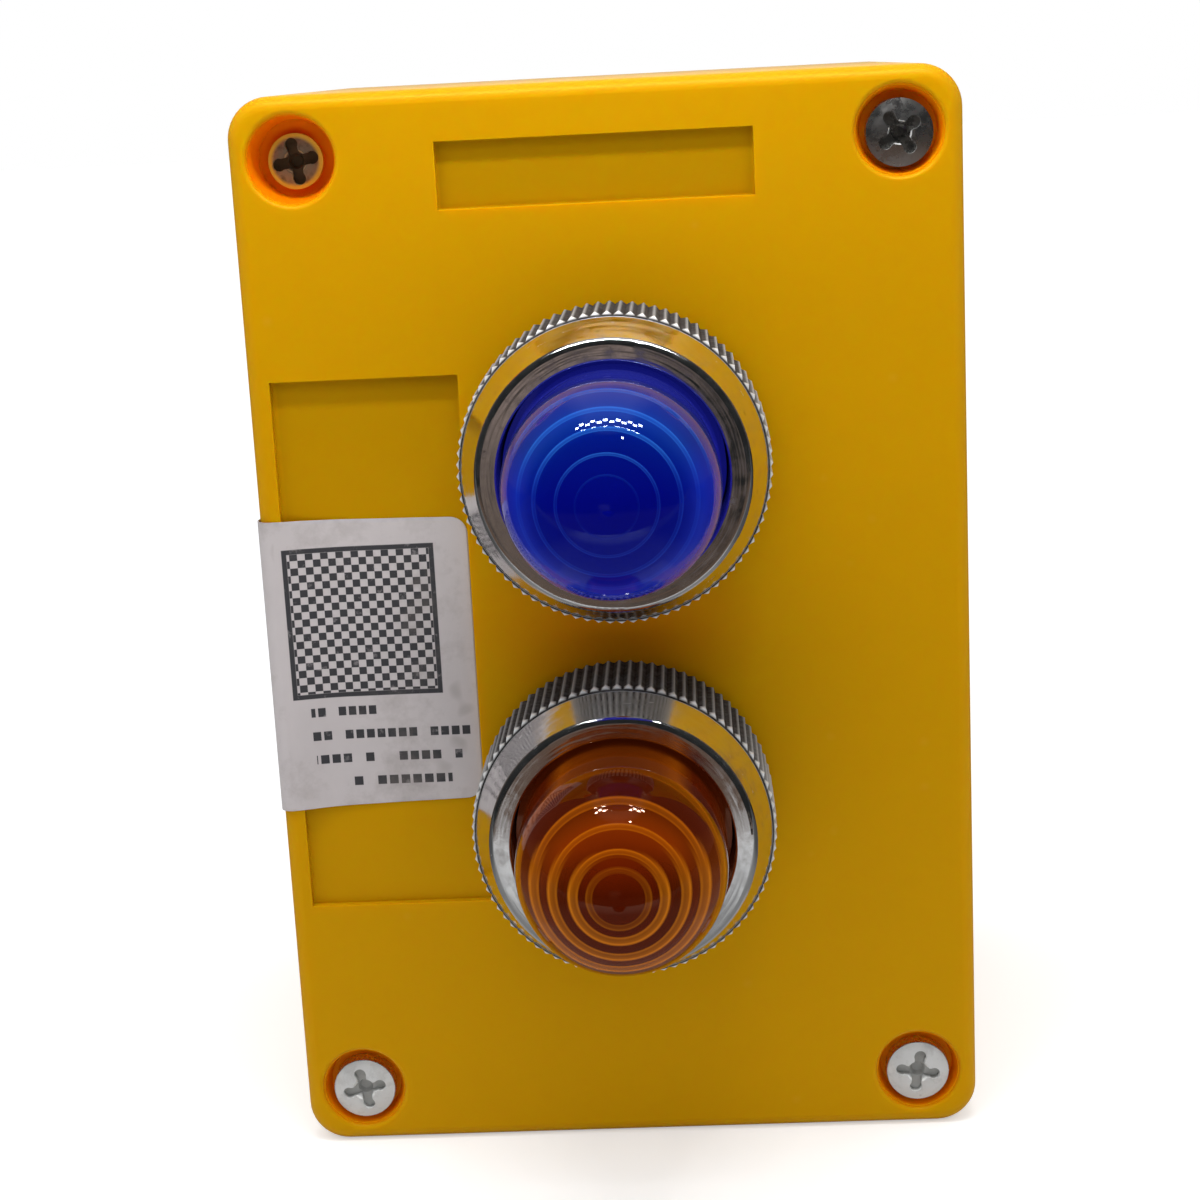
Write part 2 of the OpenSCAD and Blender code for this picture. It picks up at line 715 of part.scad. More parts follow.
module lens_section() {
  difference() {
    union() {
      translate([0, dome_mid]) intersection() {
        circle(lens_r);
        square(lens_r);
      }
      translate([0, head_top]) square([lens_r, dome_mid - head_top]);
      translate([0, head_top]) square([skirt_r, skirt_top - head_top]);
    }
    translate([0, head_top - cut]) square([lens_inner_r, dome_mid - head_top + cut]);
    for (k = [0 : rings - 1])
      translate([0, dome_mid - cut]) square([ring_edge(k), inner_level(ring_edge(k)) - dome_mid + cut]);
  }
}

module lens(i) color(lens_colour[i], 0.8) stand() at_button(i) rotate_extrude() lens_section();

module plunger(i) color("white") stand() at_button(i) difference() {
  union() {
    ring(skirt_r, 0, head_low, head_top);
    ring(lens_inner_r - screw_gap, 0, head_low, head_top + spigot_h);
    ring(barrel_bore_r - run_gap, 0, slider_low, head_low);
    ring(tail_r, 0, tail_low, slider_low);
  }
  ring(plunger_bore_r, 0, tail_low - cut, head_top + spigot_h + cut);
  difference() {
    ring(tail_r + cut, 0, clip_top - clip_t, clip_top);
    ring(tail_r - clip_groove, 0, clip_top - clip_t - cut, clip_top + cut);
  }
}

// A snap ring that is open at one side
module plunger_clip(i) color("gray") stand() at_button(i) difference() {
  ring(clip_r, tail_r - clip_groove, clip_top - clip_t, clip_top);
  translate([-clip_open / 2, 0, clip_top - clip_t - cut]) cube([clip_open, clip_r + cut, clip_t + 2 * cut]);
}

// A round-wire coil whose ends stand on both of its levels
module coil(r, wire, low, high, turns, steps_per_turn = coil_steps, sides = coil_sides) {
  steps = turns * steps_per_turn;
  rise = high - low - 2 * wire;
  points = [for (s = [0 : steps], k = [0 : sides - 1])
    let (turn = 360 * s / steps_per_turn, lean = 360 * k / sides, reach = r + wire * cos(lean))
    [reach * cos(turn), reach * sin(turn), low + wire + rise * s / steps + wire * sin(lean)]];
  tube = [for (s = [0 : steps - 1], k = [0 : sides - 1])
    let (a = s * sides, b = a + sides, next = (k + 1) % sides) [a + k, b + k, b + next, a + next]];
  ends = [[for (k = [0 : sides - 1]) k], [for (k = [sides - 1 : -1 : 0]) steps * sides + k]];
  polyhedron(points, concat(tube, ends));
}

module return_spring(i) color("silver") stand() at_button(i)
  coil(spring_r, spring_wire, rear_lip_top, slider_low, spring_turns);

module lamp_bulb(i) color("whitesmoke", 0.6) stand() at_button(i) translate([0, 0, cap_top]) {
  cylinder(r = bulb_r, h = bulb_h - bulb_r);
  translate([0, 0, bulb_h - bulb_r]) intersection() {
    sphere(bulb_r);
    cylinder(r = bulb_r, h = bulb_r);
  }
}

module lamp_cap(i) color("goldenrod") stand() at_button(i) {
  ring(cap_r, 0, socket_low, cap_top);
}

module lamp_holder(i) color("ivory") stand() at_button(i) difference() {
  union() {
    ring(holder_r, 0, block_low + cover_plug, holder_top);
    block(foot_w, foot_l, block_low + cover_plug, foot_top);
  }
  ring(cap_r + screw_gap, 0, socket_low, holder_top + cut);
}

// The collar that clips the contact block to the barrel, with its release lever
module mounting_collar(i) color("white") stand() at_button(i) difference() {
  union() {
    ring(mount_r, 0, block_top, block_top + mount_l);
    translate([mount_r, 0, 0]) block(2 * lever_l, lever_w, block_top, block_top + lever_t);
  }
  ring(barrel_r + screw_gap, 0, block_top - cut, block_top + mount_l + cut);
}

// One strip from its inner end to its terminal, as a bent outline seen from the end
module strip_outline(level, inner_x) {
  polygon(level > strip_low ? [
    [inner_x, level - strip_t], [strip_leg_x, level - strip_t], [strip_leg_x, strip_low],
    [strip_end_x, strip_low], [strip_end_x, strip_low + strip_t],
    [strip_leg_x + strip_t, strip_low + strip_t], [strip_leg_x + strip_t, level], [inner_x, level]
  ] : [
    [inner_x, strip_low], [strip_end_x, strip_low],
    [strip_end_x, strip_low + strip_t], [inner_x, strip_low + strip_t]
  ]);
}

// The strips of both ends of a row: [row, level of the strip's top, inner end]
strip_rows = [
  [bridge_off, closed_level + strip_t, bridge_half - contact_lap],
  [-bridge_off, open_level, bridge_half - contact_lap],
  [0, strip_low, foot_w / 2]
];

module terminal_strips(i) color("goldenrod") stand() at_button(i)
  for (row = strip_rows, side = [0, 1]) mirror([side, 0, 0]) difference() {
    translate([0, row[0] + strip_w / 2, 0]) rotate([90, 0, 0]) linear_extrude(strip_w)
      strip_outline(row[1], row[2]);
    translate([term_x, row[0], strip_low - cut]) cylinder(r = term_shank_r + term_gap, h = strip_t + 2 * cut);
  }

module terminal_screws(i) color("silver") stand() at_button(i)
  for (y = term_rows, x = [-1, 1]) translate([x * term_x, y, strip_low + strip_t]) difference() {
    union() {
      cylinder(r = term_r, h = term_h);
      ring(term_shank_r, 0, -strip_t - term_l, 0);
    }
    block(2 * term_r + 2 * cut, term_slot_w, term_h - term_slot_d, term_h + cut);
  }

module contact_housing(i) color("whitesmoke") stand() at_button(i) difference() {
  union() {
    block(block_w, block_l, block_low, block_top);
    block(block_w + 2 * shelf_w, block_l, block_low, shelf_top);
    for (y = [-1, 1]) translate([0, y * bridge_off / 2, 0])
      block(block_w + 2 * shelf_w, barrier_t, shelf_top - cut, shelf_top + barrier_h);
  }
  block(block_w - 2 * block_wall, block_l - 2 * block_wall, block_low - cut, block_top - block_wall);
  ring(clip_r + clip_room, 0, block_top - block_wall - cut, block_top + cut);
  for (row = strip_rows) translate([0, row[0], 0]) let (high = max(row[1], strip_low + strip_t))
    block(block_w + cut, strip_w + 2 * slot_gap, high - strip_t - slot_gap, high + slot_gap);
  for (y = term_rows, x = [-1, 1]) translate([x * term_x, y, 0])
    ring(term_shank_r + term_thread_gap, 0, shelf_top - term_l - cut, shelf_top + cut);
}

module rear_cover(i) color("gainsboro") stand() at_button(i) {
  block(block_w + 2 * shelf_w, block_l, block_low - cover_t, block_low);
  inside = 2 * (block_wall + cover_gap);
  block(block_w - inside, block_l - inside, block_low - cover_t, block_low + cover_plug);
}

// A stem with the window that holds a bridge and its spring
module carrier_stem(foot, window_low, window_high) {
  difference() {
    block(stem_w, stem_l, foot, arm_low + arm_t);
    block(stem_w + 2 * cut, window_w, window_low, window_high);
  }
}

module contact_carrier(i) color("tomato") stand() at_button(i) {
  ring(carrier_r, carrier_hole_r, arm_low, block_top);
  difference() {
    block(stem_w, 2 * bridge_off + stem_l, arm_low, arm_low + arm_t);
    ring(carrier_hole_r, 0, arm_low - cut, arm_low + arm_t + cut);
  }
  translate([0, bridge_off, 0]) carrier_stem(
    closed_bridge_low - contact_spring_l - stem_foot, closed_bridge_low - contact_spring_l,
    closed_level + window_spare);
  translate([0, -bridge_off, 0]) carrier_stem(
    open_bridge_low - stem_foot, open_bridge_low, open_bridge_low + bridge_t + contact_spring_l);
}

module contact_bridges(i) color("goldenrod") stand() at_button(i) {
  for (b = [[bridge_off, closed_bridge_low], [-bridge_off, open_bridge_low]])
    translate([0, b[0], 0]) block(2 * bridge_half, bridge_w, b[1], b[1] + bridge_t);
}

module contact_springs(i) color("silver") stand() at_button(i) {
  for (s = [[bridge_off, closed_bridge_low - contact_spring_l], [-bridge_off, open_bridge_low + bridge_t]])
    translate([0, s[0], 0])
      coil(contact_spring_r, contact_spring_wire, s[1], s[1] + contact_spring_l, contact_spring_turns,
        small_coil_steps, small_coil_sides);
}

base();
lid();
lid_seal();
lid_screws();
odd_lid_screw();
cable_grommet();
lens(BLUE);  // blue_lens
bezel(BLUE);  // blue_bezel
panel_gasket(BLUE);  // blue_panel_gasket
barrel(BLUE);  // blue_barrel
lock_washer(BLUE);  // blue_lock_washer
locknut(BLUE);  // blue_locknut
plunger(BLUE);  // blue_plunger
plunger_clip(BLUE);  // blue_plunger_clip
return_spring(BLUE);  // blue_return_spring
lamp_bulb(BLUE);  // blue_lamp_bulb
lamp_cap(BLUE);  // blue_lamp_cap
lamp_holder(BLUE);  // blue_lamp_holder
mounting_collar(BLUE);  // blue_mounting_collar
contact_housing(BLUE);  // blue_contact_housing
rear_cover(BLUE);  // blue_rear_cover
contact_carrier(BLUE);  // blue_contact_carrier
contact_bridges(BLUE);  // blue_contact_bridges
contact_springs(BLUE);  // blue_contact_springs
terminal_strips(BLUE);  // blue_terminal_strips
terminal_screws(BLUE);  // blue_terminal_screws
lens(AMBER);  // amber_lens
bezel(AMBER);  // amber_bezel
panel_gasket(AMBER);  // amber_panel_gasket
barrel(AMBER);  // amber_barrel
lock_washer(AMBER);  // amber_lock_washer
locknut(AMBER);  // amber_locknut
plunger(AMBER);  // amber_plunger
plunger_clip(AMBER);  // amber_plunger_clip
return_spring(AMBER);  // amber_return_spring
lamp_bulb(AMBER);  // amber_lamp_bulb
lamp_cap(AMBER);  // amber_lamp_cap
lamp_holder(AMBER);  // amber_lamp_holder
mounting_collar(AMBER);  // amber_mounting_collar
contact_housing(AMBER);  // amber_contact_housing
rear_cover(AMBER);  // amber_rear_cover
contact_carrier(AMBER);  // amber_contact_carrier
contact_bridges(AMBER);  // amber_contact_bridges
contact_springs(AMBER);  // amber_contact_springs
terminal_strips(AMBER);  // amber_terminal_strips
terminal_screws(AMBER);  // amber_terminal_screws
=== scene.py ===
"""Looks, stage and camera of a two-button control station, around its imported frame."""

import math
from typing import NamedTuple

import bmesh
import bpy
from bpy.props import FloatProperty, FloatVectorProperty, PointerProperty
from mathutils import Euler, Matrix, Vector


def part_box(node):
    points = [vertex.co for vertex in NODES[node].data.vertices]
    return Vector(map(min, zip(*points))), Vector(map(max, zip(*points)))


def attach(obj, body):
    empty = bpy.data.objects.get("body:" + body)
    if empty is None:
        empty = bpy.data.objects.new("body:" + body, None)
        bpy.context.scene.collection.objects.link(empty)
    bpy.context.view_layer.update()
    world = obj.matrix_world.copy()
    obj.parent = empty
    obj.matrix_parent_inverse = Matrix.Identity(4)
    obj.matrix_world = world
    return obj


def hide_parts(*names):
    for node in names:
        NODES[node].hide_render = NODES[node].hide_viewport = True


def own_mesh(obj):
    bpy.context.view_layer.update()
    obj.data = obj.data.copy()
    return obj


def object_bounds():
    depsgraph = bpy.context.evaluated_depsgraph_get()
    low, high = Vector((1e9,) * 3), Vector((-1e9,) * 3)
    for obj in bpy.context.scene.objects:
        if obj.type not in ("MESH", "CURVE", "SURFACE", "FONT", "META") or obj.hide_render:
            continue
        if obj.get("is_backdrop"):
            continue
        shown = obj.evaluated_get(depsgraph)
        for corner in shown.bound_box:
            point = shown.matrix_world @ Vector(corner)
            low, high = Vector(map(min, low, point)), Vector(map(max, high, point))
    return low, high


bl_info = {
    "name": "Two-button control station",
    "version": (1, 0, 0),
    "blender": (4, 5, 0),
    "location": "View3D > Sidebar > Station",
    "description": "Finishes and lights a wall-mounted box with two illuminated pushbuttons",
    "category": "Object",
}

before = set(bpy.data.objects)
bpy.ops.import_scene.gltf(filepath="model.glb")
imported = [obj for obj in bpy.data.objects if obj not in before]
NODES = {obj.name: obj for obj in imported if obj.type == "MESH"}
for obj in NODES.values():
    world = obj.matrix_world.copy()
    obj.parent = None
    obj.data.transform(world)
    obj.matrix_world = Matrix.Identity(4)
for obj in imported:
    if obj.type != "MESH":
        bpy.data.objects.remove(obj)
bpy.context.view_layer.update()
MM = 0.001
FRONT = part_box("lid")[0].y
BUTTONS = ("blue", "amber")


# Node trees

def set_socket(tree, socket, value):
    """Links another node's output to a socket, or gives it a plain value; a colour has three parts."""
    if isinstance(value, bpy.types.NodeSocket):
        tree.links.new(value, socket)
    elif socket.type == "RGBA":
        socket.default_value = (*value, 1.0)
    else:
        socket.default_value = value


def add(tree, kind, inputs=None, **settings):
    """Adds a shader node with its settings and inputs."""
    node = tree.nodes.new("ShaderNode" + kind)
    for name, value in settings.items():
        setattr(node, name, value)
    for name, value in (inputs or {}).items():
        set_socket(tree, node.inputs[name], value)
    return node


def math_node(tree, operation, *values, clamp=False):
    node = add(tree, "Math", dict(enumerate(values)), operation=operation, use_clamp=clamp)
    return node.outputs[0]


def plus(tree, a, b, clamp=False):
    return math_node(tree, "ADD", a, b, clamp=clamp)


def minus(tree, a, b, clamp=False):
    return math_node(tree, "SUBTRACT", a, b, clamp=clamp)


def most(tree, a, b):
    return math_node(tree, "MAXIMUM", a, b)


def product(tree, *values):
    total = values[0]
    for value in values[1:]:
        total = math_node(tree, "MULTIPLY", total, value)
    return total


def hypotenuse(tree, across, upward):
    squares = plus(tree, math_node(tree, "POWER", across, 2.0), math_node(tree, "POWER", upward, 2.0))
    return math_node(tree, "SQRT", squares)


def ramp(tree, value, low, high, to_low=0.0, to_high=1.0):
    """Maps a value from low..high to to_low..to_high and holds it there outside."""
    node = add(tree, "MapRange", {0: value, 1: low, 2: high, 3: to_low, 4: to_high}, clamp=True)
    return node.outputs[0]


def mix_colour(tree, factor, a, b, blend="MIX"):
    node = add(tree, "Mix", {0: factor, 6: a, 7: b}, data_type="RGBA", blend_type=blend)
    return node.outputs[2]


def tone_steps(tree, value, stops):
    """Colours along a length, given as (mm, colour)."""
    reach = stops[-1][0]
    node = add(tree, "ValToRGB", {0: math_node(tree, "DIVIDE", value, reach * MM)})
    elements = node.color_ramp.elements
    for index, (at, colour) in enumerate(stops):
        stop = elements[index] if index < 2 else elements.new(at / reach)
        stop.position = at / reach
        stop.color = (*colour, 1.0)
    return node.outputs[0]


def place(tree):
    """The point on the piece at rest, in metres."""
    return add(tree, "TexCoord").outputs["Object"]


def place_parts(tree):
    """The X, Y and Z of the point on the piece at rest, in metres."""
    return add(tree, "SeparateXYZ", {0: place(tree)}).outputs


def in_box(tree, point, edges, soft=0.06):
    """Mask of a rectangle of the front with soft edges, given as left, right, low and high in mm."""
    mask = None
    for axis, near, far in (("X", *edges[:2]), ("Z", *edges[2:])):
        middle, half = (near + far) / 2 * MM, (far - near) / 2 * MM
        away = math_node(tree, "ABSOLUTE", minus(tree, point[axis], middle))
        side = ramp(tree, away, half + soft * MM / 2, half - soft * MM / 2)
        mask = side if mask is None else product(tree, mask, side)
    return mask


# Shared effects

def new_group(name, inputs, outputs):
    """An empty shader node group with named sockets, and its input and output nodes."""
    group = bpy.data.node_groups.new(name, "ShaderNodeTree")
    for label, kind, default in inputs:
        socket = group.interface.new_socket(name=label, in_out="INPUT", socket_type=kind)
        socket.default_value = default
    for label, kind in outputs:
        group.interface.new_socket(name=label, in_out="OUTPUT", socket_type=kind)
    return group, group.nodes.new("NodeGroupInput"), group.nodes.new("NodeGroupOutput")


NUMBER, COLOUR = "NodeSocketFloat", "NodeSocketColor"


def noise(tree, scale, detail=3.0, roughness=0.5, vector=None):
    inputs = {"Scale": scale, "Detail": detail, "Roughness": roughness}
    inputs["Vector"] = vector if vector is not None else place(tree)
    return add(tree, "TexNoise", inputs).outputs["Fac"]


def tone_drift_group():
    """Slow drift of a colour's tone, as in unevenly mixed pigment."""
    group, source, out = new_group(
        "Tone drift",
        [("Colour", COLOUR, (0.5, 0.5, 0.5, 1.0)), ("Scale", NUMBER, 40.0), ("Amount", NUMBER, 0.1)],
        [("Colour", COLOUR)])
    broad = noise(group, source.outputs["Scale"], 2.0)
    fine = noise(group, product(group, source.outputs["Scale"], 9.0), 4.0)
    both = plus(group, product(group, broad, 0.7), product(group, fine, 0.3))
    shift = product(group, minus(group, both, 0.5), source.outputs["Amount"])
    gain = plus(group, product(group, shift, 2.0), 1.0)
    scaled = add(group, "VectorMath", {0: source.outputs["Colour"]}, operation="SCALE")
    group.links.new(gain, scaled.inputs["Scale"])
    group.links.new(scaled.outputs[0], out.inputs["Colour"])
    return group


def fine_grain_group():
    """Height and roughness of a moulded or cast skin: a fine grain on a faint waviness."""
    group, source, out = new_group(
        "Fine grain",
        [("Grain scale", NUMBER, 3000.0), ("Wave scale", NUMBER, 60.0), ("Wave share", NUMBER, 0.5)],
        [("Height", NUMBER), ("Unevenness", NUMBER)])
    grain = noise(group, source.outputs["Grain scale"], 2.0, 0.6)
    wave = noise(group, source.outputs["Wave scale"], 1.0)
    share = source.outputs["Wave share"]
    grain_share = minus(group, 1.0, share)
    mixed = plus(group, product(group, wave, share), product(group, grain, grain_share))
    group.links.new(mixed, out.inputs["Height"])
    patches = noise(group, product(group, source.outputs["Wave scale"], 3.0), 5.0, 0.6)
    group.links.new(patches, out.inputs["Unevenness"])
    return group


def scratches_group():
    """Mask of thin straight rubs that run in three directions."""
    group, source, out = new_group(
        "Scratches",
        [("Scale", NUMBER, 30.0), ("Amount", NUMBER, 0.3)],
        [("Mask", NUMBER)])
    total = None
    for turn in ((0.2, 0.5, 0.3), (0.9, -0.4, 1.3), (-0.5, 1.1, 2.3)):
        turned = add(group, "Mapping", {"Vector": place(group), "Rotation": turn, "Scale": (1.0, 28.0, 1.0)})
        lines = noise(group, source.outputs["Scale"], 3.0, 0.7, turned.outputs[0])
        edge = minus(group, 0.74, product(group, source.outputs["Amount"], 0.12))
        line = ramp(group, minus(group, lines, edge), 0.0, 0.03)
        total = line if total is None else most(group, total, line)
    group.links.new(total, out.inputs["Mask"])
    return group


def specks_group():
    """Mask of small scattered spots, such as pits, dust or stains, of uneven size."""
    group, source, out = new_group(
        "Specks",
        [("Scale", NUMBER, 300.0), ("Size", NUMBER, 0.25), ("Share", NUMBER, 0.1)],
        [("Mask", NUMBER)])
    cells = add(group, "TexVoronoi", {"Vector": place(group), "Scale": source.outputs["Scale"]})
    pick = add(group, "SeparateColor", {0: cells.outputs["Color"]})
    size = product(group, source.outputs["Size"], pick.outputs[1])
    spot = ramp(group, cells.outputs["Distance"], size, 0.0)
    chosen = math_node(group, "LESS_THAN", pick.outputs[0], source.outputs["Share"])
    group.links.new(product(group, spot, chosen), out.inputs["Mask"])
    return group


EFFECTS = {"Tone drift": tone_drift_group, "Fine grain": fine_grain_group, "Scratches": scratches_group,
           "Specks": specks_group}
GROUPS = {}


def effect(tree, name, **inputs):
    """Places one of the shared effects in a material."""
    if name not in GROUPS:
        GROUPS[name] = EFFECTS[name]()
    node = tree.nodes.new("ShaderNodeGroup")
    node.node_tree = GROUPS[name]
    for label, value in inputs.items():
        set_socket(tree, node.inputs[label.replace("_", " ").capitalize()], value)
    return node.outputs


# Materials

def feed(tree, principled, **values):
    """Sets or links a shader's inputs by their names."""
    for name, value in values.items():
        set_socket(tree, principled.inputs[name.replace("_", " ")], value)


def new_material(name, **shader):
    """A material with a Principled shader; returns it, its tree and the shader."""
    material = bpy.data.materials.new(name)
    material.use_nodes = True
    tree = material.node_tree
    principled = tree.nodes["Principled BSDF"]
    feed(tree, principled, **shader)
    return material, tree, principled


def bump(tree, principled, height, distance, under=None):
    """Raises the surface by a height, over another bump's normal where one is given."""
    node = add(tree, "Bump", {"Height": height, "Distance": distance})
    if under is not None:
        tree.links.new(under, node.inputs["Normal"])
    tree.links.new(node.outputs["Normal"], principled.inputs["Normal"])


def blend_in(tree, tone, accents):
    """Lays further colours over a tone; each accent is a function that gives a mask and its colour."""
    for accent in accents:
        mask, colour = accent(tree)
        tone = mix_colour(tree, mask, tone, colour)
    return tone


def plastic(name, colour, roughness, specular=0.3, drift=0.06, grain=0.00001, sheen_tint=(1.0, 1.0, 1.0),
            glow=0.0, accents=()):
    """Moulded plastic: drifting tone, fine grain, faint rubs and specks of dust."""
    material, tree, principled = new_material(
        name, Specular_IOR_Level=specular, Specular_Tint=sheen_tint, Subsurface_Weight=glow,
        Subsurface_Radius=(1.0, 0.35, 0.05), Subsurface_Scale=2.0 * MM)
    tone = effect(tree, "Tone drift", Colour=colour, Scale=35.0, Amount=drift)["Colour"]
    rubs = effect(tree, "Scratches", Scale=34.0, Amount=0.15)["Mask"]
    dust = effect(tree, "Specks", Scale=420.0, Size=0.3, Share=0.04)["Mask"]
    pale = tuple(min(1.0, c * 1.15 + 0.03) for c in colour)
    tone = mix_colour(tree, product(tree, dust, 0.25), tone, pale)
    tone = blend_in(tree, tone, accents)
    skin = effect(tree, "Fine grain", Grain_scale=3000.0, Wave_scale=70.0, Wave_share=0.5)
    rough = ramp(tree, skin["Unevenness"], 0.3, 0.7, roughness - 0.05, roughness + 0.07)
    rough = plus(tree, rough, product(tree, rubs, 0.12), clamp=True)
    feed(tree, principled, Base_Color=tone, Roughness=rough)
    bump(tree, principled, skin["Height"], grain)
    return material


def metal(name, colour, roughness, drift=0.1, stain=(0.1, 0.08, 0.06), stained=0.2, grain=0.000006, wear=0.4,
          accents=(), marks=None, mark_height=0.0, dull=()):
    """Plated or bare metal: drifting tone, stains, rubs and pits.

    Each dull part is a mask's function, the roughness that it adds and how much of the metal it hides.
    """
    material, tree, principled = new_material(name)
    tone = effect(tree, "Tone drift", Colour=colour, Scale=120.0, Amount=drift)["Colour"]
    patches = ramp(tree, noise(tree, 900.0, 5.0, 0.65), 0.5, 0.72, 0.0, stained)
    pits = effect(tree, "Specks", Scale=900.0, Size=0.35, Share=0.08)["Mask"]
    tone = mix_colour(tree, patches, tone, stain)
    tone = mix_colour(tree, product(tree, pits, 0.5), tone, stain)
    tone = blend_in(tree, tone, accents)
    rubs = effect(tree, "Scratches", Scale=90.0, Amount=wear)["Mask"]
    skin = effect(tree, "Fine grain", Grain_scale=5200.0, Wave_scale=240.0, Wave_share=0.6)
    rough = ramp(tree, skin["Unevenness"], 0.3, 0.7, roughness - 0.06, roughness + 0.1)
    rough = plus(tree, rough, product(tree, patches, 0.5))
    rough = plus(tree, rough, product(tree, rubs, 0.1), clamp=True)
    bare = 1.0
    for part, rougher, hidden in dull:
        mask = part(tree)
        rough = plus(tree, rough, product(tree, mask, rougher), clamp=True)
        bare = minus(tree, bare, product(tree, mask, hidden), clamp=True)
    feed(tree, principled, Base_Color=tone, Metallic=bare, Roughness=rough)
    height = minus(tree, skin["Height"], product(tree, rubs, 0.3))
    under = add(tree, "Bump", {"Height": marks(tree), "Distance": mark_height}).outputs[0] if marks else None
    bump(tree, principled, height, grain, under=under)
    return material


# Faces that meet at less than this angle shade as one
SHARP_EDGE = math.radians(32)


def even_normals(node_name):
    """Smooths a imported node's shading across its facets and keeps its real edges sharp."""
    mesh = NODES[node_name].data
    keys = [tuple(round(c * 1e7) for c in vertex.co) for vertex in mesh.vertices]
    faces = [(face.normal.copy(), face.area, tuple(face.vertices)) for face in mesh.polygons]
    around = {}
    for normal, area, corners in faces:
        for corner in corners:
            around.setdefault(keys[corner], []).append((normal, area))
    normals = []
    for normal, _, corners in faces:
        for corner in corners:
            total = normal * 1e-12
            for other, area in around[keys[corner]]:
                if normal.dot(other) > math.cos(SHARP_EDGE):
                    total = total + other * area
            normals.append(total.normalized())
    mesh.normals_split_custom_set(normals)


def dress(node_name, material):
    """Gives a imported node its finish."""
    slots = NODES[node_name].data.materials
    for index in range(len(slots)):
        slots[index] = material


# User settings

def power_setting(name, description, default):
    return FloatProperty(name=name, description=description, default=default, unit="POWER")


def colour_setting(name, description, default):
    return FloatVectorProperty(name=name, description=description, default=default, subtype="COLOR",
                               min=0.0, max=1.0)


class StationStage(bpy.types.PropertyGroup):
    camera_place: FloatVectorProperty(
        name="Camera place", description="Where the camera stands", subtype="TRANSLATION", unit="LENGTH",
        default=(0.00868, -0.28837, 0.05735))
    camera_turn: FloatVectorProperty(
        name="Camera turn", description="Rotation of the camera", subtype="EULER", unit="ROTATION",
        default=tuple(math.radians(a) for a in (76.677, 2.878, 1.921)))
    camera_lens: FloatProperty(
        name="Focal length", description="Focal length of the camera in millimetres", default=68.437)
    strip_power: power_setting("Lamp strip", "Power of the whole row of small lamps above the box", 0.15)
    high_power: power_setting("High soft lamp", "Power of the soft lamp high on the left", 0.014)
    round_power: power_setting("Round lamp", "Power of the small round lamp", 0.01)
    low_power: power_setting("Low soft lamp", "Power of the broad lamp low in front of the box", 0.03)
    world_level: FloatProperty(
        name="Room light", description="Brightness of the room around the box", default=0.95, min=0.0)
    floor_colour: colour_setting("Floor", "Colour of the plain floor", (0.8, 0.8, 0.8))


class StationFinish(bpy.types.PropertyGroup):
    box_colour: colour_setting("Box", "Colour of the moulded box", (0.575, 0.289, 0.0005))
    label_colour: colour_setting("Label", "Colour of the paper label", (0.53, 0.485, 0.485))


# Stage

def aim(obj, place_at, target):
    obj.location = place_at
    obj.rotation_euler = (Vector(target) - Vector(place_at)).to_track_quat("-Z", "Y").to_euler()


def area_lamp(name, place_at, target, size, power, shape="RECTANGLE"):
    light = bpy.data.lights.new(name, "AREA")
    light.shape = shape
    light.size, light.size_y = size
    light.energy = power
    lamp = bpy.data.objects.new(name, light)
    bpy.context.scene.collection.objects.link(lamp)
    lamp.visible_camera = False
    aim(lamp, place_at, target)
    return lamp


def soft_lamp(name, place_at, target, size, power):
    """A lamp that lights the box but isn't mirrored in it."""
    lamp = area_lamp(name, place_at, target, size, power)
    lamp.visible_glossy = False
    lamp.visible_transmission = False


# How strongly the floor shines of itself where the camera sees it
FLOOR_LIFT = 0.4


def floor_material(colour):
    """A matt floor that shows white to the camera and keeps the object's shadow."""
    material, tree, principled = new_material("plain_floor", Roughness=0.9, Specular_IOR_Level=0.1)
    tone = effect(tree, "Tone drift", Colour=colour, Scale=6.0, Amount=0.02)["Colour"]
    path = add(tree, "LightPath").outputs
    across = place_parts(tree)
    aside = math_node(tree, "ABSOLUTE", across["X"])
    # What polished surfaces mirror of it: pale at the front edge and close to the box, dim between and behind
    edge = product(tree, ramp(tree, across["Y"], -0.155, -0.17, 0.22, 0.55),
                   ramp(tree, aside, 0.06, 0.1, 1.0, 0.4))
    near = product(tree, ramp(tree, across["Y"], -0.1, -0.085, 0.0, 0.4),
                   ramp(tree, aside, 0.045, 0.06, 1.0, 0.2))
    behind = ramp(tree, across["Y"], -0.03, 0.04, 1.0, 0.1)
    share = product(tree, most(tree, edge, near), behind)
    mirrored = mix_colour(tree, share, (0, 0, 0), colour)
    tone = mix_colour(tree, path["Is Glossy Ray"], tone, mirrored)
    seen = most(tree, path["Is Camera Ray"], path["Is Transmission Ray"])
    feed(tree, principled, Base_Color=tone, Emission_Color=(1, 1, 1),
         Emission_Strength=product(tree, seen, FLOOR_LIFT))
    return material


def soft_room(tree, way):
    """What lights matt surfaces: bright walls, brighter below, round a dark opening ahead of the box."""
    across = math_node(tree, "DIVIDE", way["X"], 0.75)
    upward = math_node(tree, "DIVIDE", minus(tree, way["Z"], 0.06), 0.42)
    opening = product(tree, ramp(tree, hypotenuse(tree, across, upward), 1.15, 0.8),
                      ramp(tree, way["Y"], 0.0, -0.2))
    walls = mix_colour(tree, ramp(tree, way["Z"], 0.0, -0.3), (0.96, 0.98, 1.0), (1.4, 1.4, 1.35))
    return mix_colour(tree, opening, walls, (0.02, 0.02, 0.02))


